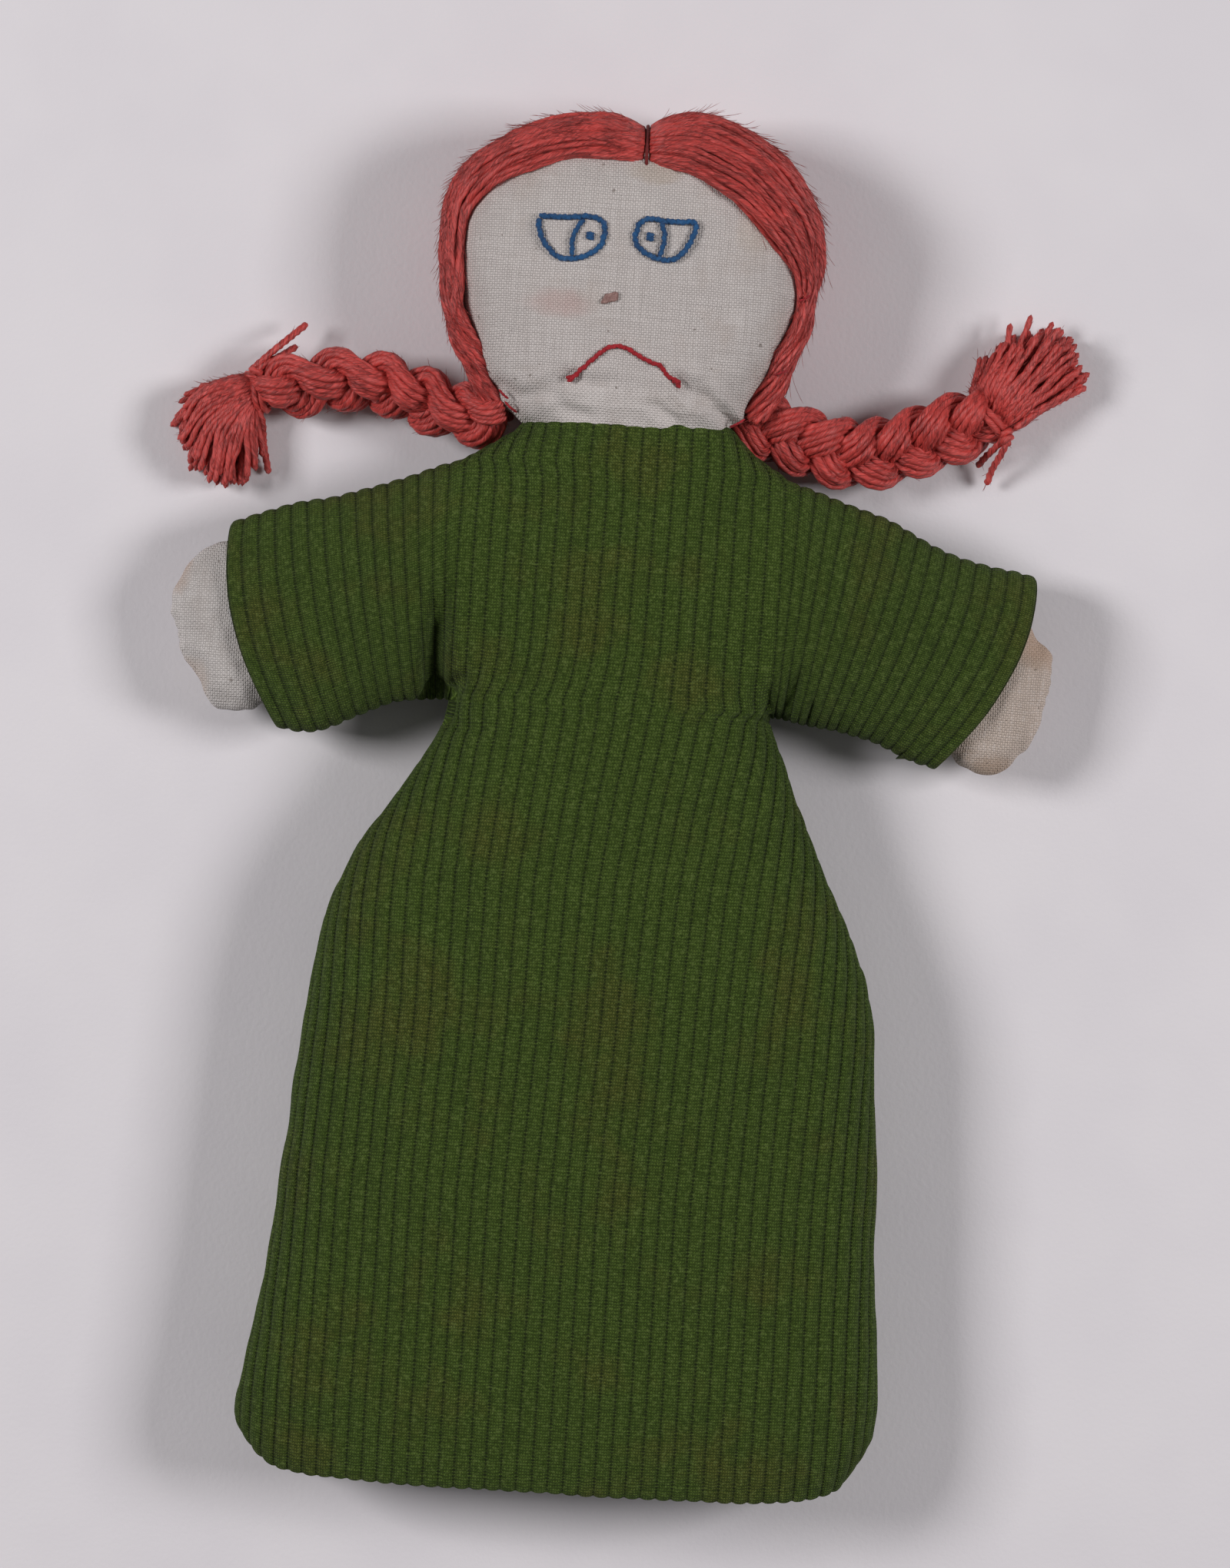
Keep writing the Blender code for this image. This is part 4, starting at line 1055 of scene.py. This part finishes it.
def build_hand(side, sign):
    """A calico mitten of two layers that share their outer ring."""
    outline = np.array(HANDS[side])
    ring = curve(np.vstack([outline, outline[:1]]), HAND_POINTS + 1)[:-1]
    centre = HAND_MIDDLE[side]
    levels = np.sin(np.linspace(0, math.pi / 2, HAND_RINGS + 1))[1:]
    points = [(*centre, 1), (*centre, -1)]
    for r in levels:
        for top in (1, -1) if r < levels[-1] else (1,):
            points.extend((*(centre + (p - centre) * r), top * float(hump(r, FULL))) for p in ring)
    faces = []
    for top in (1, -1):
        rows = [2 + (2 * k + (top < 0)) * HAND_POINTS for k in range(HAND_RINGS - 1)]
        rows.append(2 + 2 * (HAND_RINGS - 1) * HAND_POINTS)
        for i in range(HAND_POINTS):
            j = (i + 1) % HAND_POINTS
            faces.append((0 if top > 0 else 1, rows[0] + i, rows[0] + j)[::top])
            for row, outer in zip(rows, rows[1:]):
                faces.append((row + i, outer + i, outer + j, row + j)[::top])
    points = np.array(points)
    x = points[:, 0].copy()
    points[:, 2] = seam_height(x) + points[:, 2] * HAND_DEPTH * (1 - 0.16 * smoothstep(x, 84, 94))
    points[:, 0] *= sign
    obj = mesh_object(f"{side}_hand", points, faces, HAND_CLOTH[side])
    face_outward(obj)
    subdivided(obj, 1)
    return obj


def hand(side, sign):
    """A stuffed hand with a lumpy face and a puckered, pressed-in edge seam."""
    obj = build_hand(side, sign)
    points, outward = positions(obj.data), normals(obj.data)
    middle = HAND_MIDDLE[side]
    around = np.arctan2(points[:, 1] - middle[1], np.abs(points[:, 0]) - middle[0])
    lift = 0.75 * field(points, 9.0, 2.0 + sign) + 0.30 * field(points, 3.4, 5.0)
    lift += 0.16 * (1 - np.abs(outward[:, 2])) * np.sin(around * 19 + 4 * np.sin(around * 3))
    lift -= 0.30 * bell(points[:, 2] - seam_height(points[:, 0]), 0.5)
    points += outward * lift[:, None]
    points[:, 2] = np.maximum(points[:, 2], 0.2)
    place_vertices(obj.data, points)
    wear(obj, f"{side}_arm", "calico", f"{side}_hand_front", f"{side}_hand_back")


# ---------------------------------------------------------------- hair

YARN, FIBRE, HAIR_POINTS = 0.57, 0.045, 90  # radii of a yarn and of a loose fibre
PARTING_THREAD, TACK_THREAD = 0.34, 0.25
FRONT_YARNS, CROWN_YARNS, BACK_YARNS = 40, 44, 56
HAIR_LINES = {
    # front inner edge, silhouette, middle of the back, nape: from the parting to the jaw
    "left": [
        [(0.2, 136.2, 31.2), (-5.8, 136.6, 31.4), (-14.7, 136.1, 30.8), (-23.3, 133.2, 29.8),
         (-29.1, 130.6, 28.8), (-33.3, 126.8, 27.6), (-35.6, 122.9, 27.0), (-36.4, 117.2, 26.6),
         (-36.2, 109.5, 26.4), (-34.3, 101.3, 25.8), (-31.0, 94.4, 24.2), (-27.4, 87.6, 22.6),
         (-24.2, 82.8, 21.0)],
        [(0.1, 143.9, 20.5), (-4.3, 145.2, 20.0), (-9.9, 146.0, 19.6), (-17.5, 144.8, 19.3),
         (-25.6, 142.2, 19.0), (-32.2, 138.2, 19.0), (-37.5, 133.5, 19.0), (-41.1, 126.6, 19.0),
         (-41.8, 116.8, 19.0), (-41.2, 109.1, 19.0), (-39.4, 101.2, 19.0), (-35.6, 94.0, 18.5),
         (-32.0, 88.6, 17.4), (-29.6, 83.8, 15.5)],
        [(0.2, 137.5, 3.2), (-10, 138.2, 3.0), (-20, 134.2, 2.8), (-28, 128, 2.6), (-33.5, 119.5, 2.6),
         (-35.4, 110, 3.2), (-34, 100.5, 5.2), (-31.5, 92.5, 8.6), (-29.0, 84.0, 11.5)],
        [(0.2, 91.0, 2.4), (-8, 92.2, 1.9), (-15.5, 92.6, 2.0), (-21.5, 91.2, 4.0), (-25.6, 88.0, 7.5),
         (-27.4, 83.8, 11.0)]],
    "right": [
        [(0.8, 136.0, 31.2), (6.0, 135.3, 31.4), (10.7, 133.8, 31.0), (18.8, 129.5, 30.2),
         (23.4, 125.5, 29.6), (27.6, 121.3, 28.8), (31.2, 117.2, 27.8), (33.6, 112.9, 27.0),
         (34.2, 108.0, 26.6), (32.4, 101.3, 25.6), (28.2, 94.0, 24.0), (24.8, 89.2, 22.8),
         (21.6, 83.6, 21.6)],
        [(0.9, 144.3, 20.5), (4.8, 146.2, 20.0), (12.2, 147.4, 19.6), (21.2, 144.7, 19.3),
         (27.1, 141.2, 19.0), (31.9, 136.6, 19.0), (36.2, 130.8, 19.0), (38.6, 125.0, 19.0),
         (39.4, 117.2, 19.0), (38.2, 110.6, 19.0), (37.6, 104.6, 19.0), (34.4, 97.2, 18.8),
         (33.0, 91.4, 18.0), (29.0, 84.2, 15.8)],
        [(0.8, 138.5, 3.2), (10, 139.4, 3.0), (19.5, 136.0, 2.8), (27, 129.5, 2.6), (32.5, 120.5, 2.6),
         (34.4, 110.5, 3.2), (33, 101, 5.2), (30.4, 93.0, 8.6), (27.6, 84.4, 11.5)],
        [(0.8, 91.0, 2.4), (8, 92.2, 1.9), (15, 92.6, 2.0), (20.8, 91.2, 4.0), (24.6, 88.0, 7.5),
         (26.4, 84.2, 11.0)]]}
PARTING = [(0.6, 135.2, 31.4), (0.5, 138.2, 30.4), (0.5, 141.6, 27.0), (0.4, 143.4, 22.0), (0.4, 142.6, 14.0)]
TACKS = {
    "left_jaw_tack": [[(-25.6, 84.4, 25.4), (-24.4, 83.2, 25.2), (-22.9, 82.2, 22.6)],
                      [(-27.0, 86.8, 25.6), (-25.8, 85.6, 26.2), (-24.8, 84.9, 25.6)]],
    "right_cheek_tack": [[(37.4, 111.2, 23.4), (36.2, 110.4, 26.0), (35.0, 109.6, 27.0), (34.0, 109.2, 26.4)]],
    "right_jaw_tack": [[(24.6, 84.0, 24.4), (23.2, 83.0, 24.6), (21.4, 82.0, 22.4)],
                       [(32.8, 94.6, 25.2), (31.3, 94.0, 26.9), (29.9, 93.5, 25.4)]]}


def hair_layers(side):
    """The plain yarns of one side of the wig in three layers: front, crown and back."""
    inner, outer, back, nape = (curve(seen(line), HAIR_POINTS) for line in HAIR_LINES[side])
    share = np.linspace(0, 1, HAIR_POINTS)
    outward = unit(outer[:, :2] - (-1.0, 110.0))
    outer[:, :2] -= outward * (1.15 * (1 - smoothstep(share, 0.75, 1.0)))[:, None]
    lying = smoothstep(share, 0.02, 0.12) * (1 - smoothstep(share, 0.55, 0.75))
    inner[:, 2] += (head_front(inner[:, 0], inner[:, 1]) + 1.0 - inner[:, 2]) * lying
    layers = {"front": [], "crown": [], "back": []}
    for k in range(FRONT_YARNS):
        w = (k + 0.15) / FRONT_YARNS
        path = inner + (outer - inner) * math.sin(w * math.pi / 2)
        fall = (inner[:, 2] - outer[:, 2]) * math.cos(w * math.pi / 2)
        path[:, 2] = outer[:, 2] + fall + 1.6 * math.sin(math.pi * w) * np.sin(math.pi * share) ** 0.5
        layers["front"].append(path)
    for k in range(CROWN_YARNS):
        w = (k + 0.5) / CROWN_YARNS
        path = back + (outer - back) * math.cos(w * math.pi / 2)
        path[:, 2] = outer[:, 2] - (outer[:, 2] - back[:, 2]) * math.sin(w * math.pi / 2)
        path[:, :2] -= outward * (k % 2)
        layers["crown"].append(path)
    for k in range(BACK_YARNS):
        layers["back"].append(back + (nape - back) * ((k + 0.5) / BACK_YARNS))
    return layers


def hair_paths(side):
    """The yarns of one side of the wig, gathered into a hank at the jaw and made uneven."""
    layers, sign = hair_layers(side), SIDES[side]
    share = np.linspace(0, 1, HAIR_POINTS)
    hank = np.mean(layers["front"], axis=0)
    tangent = unit(np.gradient(hank, axis=0))
    level = unit(np.cross(tangent, (0, 0, 1.0)))
    rise = np.cross(level, tangent)
    made = []
    for kind, path in [(kind, path) for kind, layer in layers.items() for path in layer]:
        index = len(made)
        reach = lengths(path)
        if kind != "back":
            path[:, 2] -= 1.7 * np.exp(-(reach / 1.8) ** 2)
        if kind == "front":
            gather = smoothstep(share, 0.60, 0.84)[:, None]
            out = 2.35 * math.sqrt((index + 0.5) / FRONT_YARNS)
            angle = index * 2.4 - sign * 5.2 * np.maximum(share - 0.6, 0) / 0.4
            disc = level * (out * np.cos(angle))[:, None] + rise * (out * np.sin(angle))[:, None]
            path = path * (1 - gather) + (hank + disc) * gather
        seed = index * 3.17 + sign
        rough = field_3d(path, 11.0, seed, 50) * (0.85 if kind == "front" else 0.50)
        fine = field_3d(path, 3.6, seed + 7, 90) * 0.10
        calm = np.sin(np.clip(reach / 10, 0, 1) * math.pi / 2)[:, None]
        path = path + (rough + fine) * calm
        path[:, 2] += 0.55 * ((index * 7) % 5 - 2) / 2
        path[:, 2] = np.maximum(path[:, 2], 1.0)
        made.append(path)
    return made


def fuzz(tubes, paths, count, reach, spread, seed):
    """Loose fibres standing off the yarns."""
    chance = np.random.default_rng(seed)
    t = np.linspace(0, 1, 9)[:, None]
    for _ in range(count):
        path = paths[chance.integers(len(paths))]
        at = chance.integers(2, len(path) - 3)
        heading = path[at + 1] - path[at]
        heading = heading / max(np.linalg.norm(heading), 1e-6)
        side = chance.normal(size=3)
        side[2] = abs(side[2]) * 0.7
        side -= heading * (side @ heading)
        side /= max(np.linalg.norm(side), 1e-6)
        long = chance.uniform(0.4, 1.0) * reach
        bend = chance.normal(size=3) * 0.25
        off = YARN * 0.7 + spread * t ** 1.6 * chance.uniform(0.2, 1)
        line = path[at] + heading * t * long + side * off + bend * t ** 2 * long * 0.6
        line[:, 2] = np.maximum(line[:, 2], 0.3)
        tubes.add(line, FIBRE, sides=3, lobes=1, depth=0.0, taper=0.3)


def hair():
    for side, sign in SIDES.items():
        tubes = Tubes()
        paths = hair_paths(side)
        for path in paths:
            tubes.add(resampled(path, 0.75), YARN, sides=7, lobes=2, depth=0.10, pitch=7.5, taper=0.15)
        fuzz(tubes, paths[:FRONT_YARNS + 8], 2200, 7.0, 0.9, 5 + sign)
        wear(tubes.build(f"{side}_wig", PINK), "head", "pink_yarn", f"{side}_hair")
    tubes = Tubes()
    tubes.add(curve(seen(PARTING), 60), PARTING_THREAD, sides=8, lobes=2, depth=0.2, pitch=2.2)
    wear(tubes.build("parting_thread", DARK_RED), "head", "red_thread", "parting_stitch")
    for name, lines in TACKS.items():
        tubes = Tubes()
        for line in lines:
            tubes.add(curve(seen(line), 24), TACK_THREAD, sides=8, lobes=2, depth=0.2, pitch=2.0)
        wear(tubes.build(f"{name}_thread", RED), "head", "red_thread", name)


# ---------------------------------------------------------------- plaits, tassels and ties

PLAIT_LINES = {
    "left": [(-25.8, 83.4, 17.0), (-31.0, 81.0, 15.4), (-38.2, 82.0, 13.0), (-45.1, 85.0, 10.8),
             (-53.0, 86.6, 9.2), (-60.6, 86.4, 8.6), (-68.2, 84.8, 8.0), (-73.4, 83.6, 7.2),
             (-77.2, 83.2, 6.2)],
    "right": [(23.6, 83.8, 16.4), (29.4, 82.2, 14.8), (38.2, 79.6, 12.8), (47.0, 77.8, 10.4),
              (54.3, 79.2, 9.0), (61.8, 82.0, 8.4), (68.4, 84.8, 7.8), (72.8, 86.8, 7.2), (76.2, 88.8, 6.4)]}
PLAITS = {
    # the strands swing this wide and deep, once in each period; each is a bundle with this spread
    "left": dict(period=29.5, phase=2.6, wide=4.0, deep=2.6, roll=1.0, yarns=30, spread=(3.7, 2.8),
                 narrow=0.40),
    "right": dict(period=26.0, phase=1.9, wide=4.5, deep=2.4, roll=-0.45, yarns=28, spread=(3.5, 2.6),
                  narrow=0.22)}
PLAIT_YARN, WRAP_YARN, TAIL_YARN = 0.72, 0.72, 0.70
TASSELS = {
    "left": dict(root=(-77.0, 83.4, 6.0), heading=(-1.0, 0.05), neck=6.4, ragged=0.9,
                 middle=[(-82.2, 85.4), (-87.2, 83.8), (-88.4, 80.0), (-86.0, 76.0), (-82.2, 73.6),
                         (-78.6, 74.4), (-76.2, 77.8)],
                 tips=[(-87.2, 83.8), (-92.2, 79.8), (-93.2, 74.4), (-90.8, 68.8), (-86.4, 64.8),
                       (-81.4, 63.2), (-77.8, 65.0), (-75.6, 70.0)]),
    "right": dict(root=(76.0, 88.4, 6.4), heading=(0.68, 0.73), neck=9.6, ragged=1.5,
                  middle=[(70.9, 92.6), (73.4, 95.0), (77.6, 95.4), (81.0, 93.0), (82.9, 89.8), (82.6, 86.8)],
                  tips=[(72.8, 97.6), (75.6, 100.6), (79.6, 102.4), (83.2, 105.2), (88.2, 107.0),
                        (90.6, 103.2), (91.4, 100.4), (94.0, 98.8), (94.4, 95.0)])}
TASSEL_LAYERS, TASSEL_YARNS, TASSEL_POINTS = 5, 26, 34
TIES = {
    # wraps are (middle, axis, radius, turns), and tails are loose ends
    "left": dict(wraps=[((-77.2, 83.6, 6.0), (-1.0, -0.1, -0.1), 3.9, 2.6),
                        ((-78.6, 87.2, 9.2), (0.5, 0.6, 0.1), 0.9, 2.4)],
                 tails=[[(-78.8, 87.2, 9.4), (-75.6, 90.4, 9.6), (-72.0, 93.8, 8.6), (-67.6, 97.8, 6.0)],
                        [(-78.2, 87.0, 9.8), (-75.4, 89.2, 9.4), (-72.6, 90.8, 7.8), (-69.4, 93.0, 5.4)],
                        [(-77.0, 80.2, 8.0), (-75.6, 76.6, 6.4), (-75.0, 72.0, 3.4), (-73.6, 66.0, 1.6)]]),
    "right": dict(wraps=[((75.2, 87.7, 6.6), (0.68, 0.73, -0.1), 4.5, 2.2),
                         ((79.6, 84.6, 9.0), (0.2, -0.9, 0.1), 0.9, 2.4)],
                  tails=[[(79.8, 84.4, 9.2), (78.4, 80.6, 8.0), (76.6, 77.0, 5.4), (75.6, 73.6, 3.0)],
                         [(79.4, 84.6, 9.6), (77.2, 81.8, 7.8), (75.0, 79.4, 5.2), (73.4, 77.2, 3.0)],
                         [(80.6, 85.6, 9.4), (85.0, 89.2, 8.8), (90.4, 92.6, 6.4), (95.0, 95.4, 3.8)]])}


def plait_paths(side):
    """The yarns of a three-strand plait, each strand a twisted bundle of them."""
    shape = PLAITS[side]
    line = curve(seen(PLAIT_LINES[side]), 150)
    reach = lengths(line)
    tangent = unit(np.gradient(line, axis=0))
    across = unit(np.cross(tangent, (0, 0, 1.0)))
    up = np.cross(across, tangent)
    c, s = math.cos(shape["roll"]), math.sin(shape["roll"])
    wide, deep = across * c + up * s, up * c - across * s
    tight = 1 - shape["narrow"] * smoothstep(reach, reach[-1] - 6.5, reach[-1] - 0.5)
    tight -= 0.2 * (1 - smoothstep(reach, 0, 6))
    over, under = shape["spread"]
    paths = []
    for strand in range(3):
        phi = TURN * (reach / shape["period"] + strand / 3) + shape["phase"]
        swing = wide * (shape["wide"] * np.sin(phi) * tight)[:, None]
        centre = line + swing + deep * (shape["deep"] * np.sin(2 * phi) * tight)[:, None]
        heading = unit(np.gradient(centre, axis=0))
        side_way = unit(np.cross(heading, deep))
        other = np.cross(side_way, heading)
        for k in range(shape["yarns"]):
            spin = 2.4 * k + 0.09 * reach + strand
            swell = (0.72 + 0.28 * np.abs(np.cos(phi))) * tight * math.sqrt((k + 0.5) / shape["yarns"])
            seed = strand * 5.3 + k * 1.7 + SIDES[side]
            sideways = over * swell * np.cos(spin) + 0.30 * field(centre, 8.0, seed)
            upward = under * swell * np.sin(spin) + 0.26 * field(centre, 8.0, seed + 9)
            path = centre + side_way * sideways[:, None] + other * upward[:, None]
            path[:, 2] = np.maximum(path[:, 2], 0.9)
            paths.append(path)
    return paths


def tassel_paths(side):
    """The loose yarns past the tie, in layers, spread out between two lines."""
    shape, sign = TASSELS[side], SIDES[side]
    chance = np.random.default_rng(21 + sign)
    root, heading = np.array(shape["root"]), np.array([*shape["heading"], 0.0])
    middle_mean, tip_mean = np.mean(shape["middle"], axis=0), np.mean(shape["tips"], axis=0)
    growing = np.linspace(0, 1, TASSEL_POINTS)[:, None]
    paths = []
    for layer, k in np.ndindex(TASSEL_LAYERS, TASSEL_YARNS):
        f = (k + chance.uniform(0.1, 0.9)) / TASSEL_YARNS
        level = (layer - 2) / 2
        round_off = 1 - (2 * f - 1) ** 2
        tip = along(shape["tips"], [f])[0] + chance.normal(size=2) * shape["ragged"]
        tip = tip_mean + (tip - tip_mean) * (1 - 0.06 * abs(level))
        middle = middle_mean + (along(shape["middle"], [f])[0] - middle_mean) * (1 - 0.10 * abs(level))
        thick = 4.2 * math.sqrt(max(0.0, round_off)) + 0.6
        across = np.array([-heading[1], heading[0], 0]) * (0.5 - f) * shape["neck"] * sign
        bulk = np.array([0, 0, level * 2.3 * math.sqrt(max(0.1, round_off)) + chance.normal() * 0.35])
        start = root - heading * 4.0 + across * 0.6 + bulk * 0.8
        ends = [(*middle, 6.0 + level * thick), (*tip, 5.2 + level * thick * 0.9)]
        path = curve(seen([start, root + across + bulk, *ends]), TASSEL_POINTS)
        path += field_3d(path, 5.0, k + 3.1 * layer, 0, 9) * 0.6 * growing
        path[:, 2] = np.maximum(path[:, 2], 0.9)
        paths.append(path)
    return paths


def wound(tubes, centre, axis, radius, turns):
    """Yarn wound round a bundle."""
    axis = unit(np.array(axis, float))
    a = unit(np.cross(axis, (0, 0, 1.0)))
    b = np.cross(axis, a)
    t = np.linspace(0, turns, int(turns * 26))[:, None]
    path = np.array(centre) + axis * (t - turns / 2) * 1.35
    path += radius * (a * np.cos(TURN * t) + b * np.sin(TURN * t))
    path[:, 2] = np.maximum(path[:, 2], 0.8)
    tubes.add(path, WRAP_YARN, sides=9, lobes=3, depth=0.14, pitch=6.0)


def plait(side, sign):
    paths = plait_paths(side)
    tubes = Tubes()
    for path in paths:
        tubes.add(resampled(path, 0.6), PLAIT_YARN, sides=8, lobes=2, depth=0.09, pitch=6.5)
    fuzz(tubes, paths, 2600, 3.6, 1.0, 31 + sign)
    piece = tubes.build(f"{side}_braid", PINK)
    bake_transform(piece)
    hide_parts(f"{side}_plait")


def tassel(side, sign):
    paths = tassel_paths(side)
    tubes = Tubes()
    for path in paths:
        line = resampled(path, 0.6)
        thick = 0.42 + 0.20 * smoothstep(lengths(line), 3.0, 9.0)
        tubes.add(line, thick, sides=8, lobes=2, depth=0.10, pitch=6.0, taper=0.25)
    fuzz(tubes, paths, 2400, 3.0, 1.0, 51 + sign)
    wear(tubes.build(f"{side}_brush", PINK), f"{side}_plait", "pink_yarn", f"{side}_tassel")


def tie(side, sign):
    tubes = Tubes()
    for wrap in TIES[side]["wraps"]:
        wound(tubes, *wrap)
    lines = [curve(seen(tail), 40) for tail in TIES[side]["tails"]]
    for line in lines:
        tubes.add(line, TAIL_YARN, sides=9, lobes=3, depth=0.16, pitch=5.0)
    fuzz(tubes, lines, 26, 2.6, 1.1, 71 + sign)
    wear(tubes.build(f"{side}_tie_yarn", PINK), f"{side}_plait", "pink_yarn", f"{side}_tie")


# ---------------------------------------------------------------- floor, lights, camera

FLOOR_HALF = 1500.0
WORLD_STRENGTH = 0.115
LIGHTS = [("key_left", (-1.18, 0.24, 1.12), 15.8), ("key_right", (1.24, 0.18, 1.12), 15.0)]  # metres, watts
LIGHT_SIZE, LIGHTS_AIM = 0.5, Vector((0.0, 0.02, 0.0))
CAMERA_LENS, CAMERA_TURN = 143.4, 3.8


def placed(name, data, place):
    made = bpy.data.objects.new(name, data)
    made.location = place
    bpy.context.scene.collection.objects.link(made)
    return made


def stage():
    mesh = bpy.data.meshes.new("floor")
    corners = [(x * FLOOR_HALF * MM, y * FLOOR_HALF * MM, 0) for x, y in ((-1, -1), (1, -1), (1, 1), (-1, 1))]
    mesh.from_pydata(corners, [], [(0, 1, 2, 3)])
    mesh.materials.append(floor_material())
    placed("floor", mesh, (0, 0, 0))
    world = bpy.data.worlds.new("studio")
    world.use_nodes = True
    background = world.node_tree.nodes["Background"]
    background.inputs["Color"].default_value = rgb(1.0, 0.985, 1.0)
    background.inputs["Strength"].default_value = WORLD_STRENGTH
    bpy.context.scene.world = world
    for name, place, power in LIGHTS:
        data = bpy.data.lights.new(name, "AREA")
        data.energy, data.size = power, LIGHT_SIZE
        data.color = (1.0, 0.985, 0.99)
        light = placed(name, data, place)
        light.rotation_euler = (LIGHTS_AIM - Vector(place)).to_track_quat("-Z", "Y").to_euler()
    data = bpy.data.cameras.new("camera")
    data.lens, data.sensor_width = CAMERA_LENS, 36.0
    camera = placed("camera", data, [c * MM for c in CAMERA_AT])
    camera.rotation_euler = (0, 0, math.radians(CAMERA_TURN))
    bpy.context.scene.camera = camera
    bpy.context.scene.view_settings.view_transform = "Standard"


dress()
seams()
head()
embroidery()
for side, sign in SIDES.items():
    hand(side, sign)
hair()
for side, sign in SIDES.items():
    plait(side, sign)
    tassel(side, sign)
    tie(side, sign)
stage()
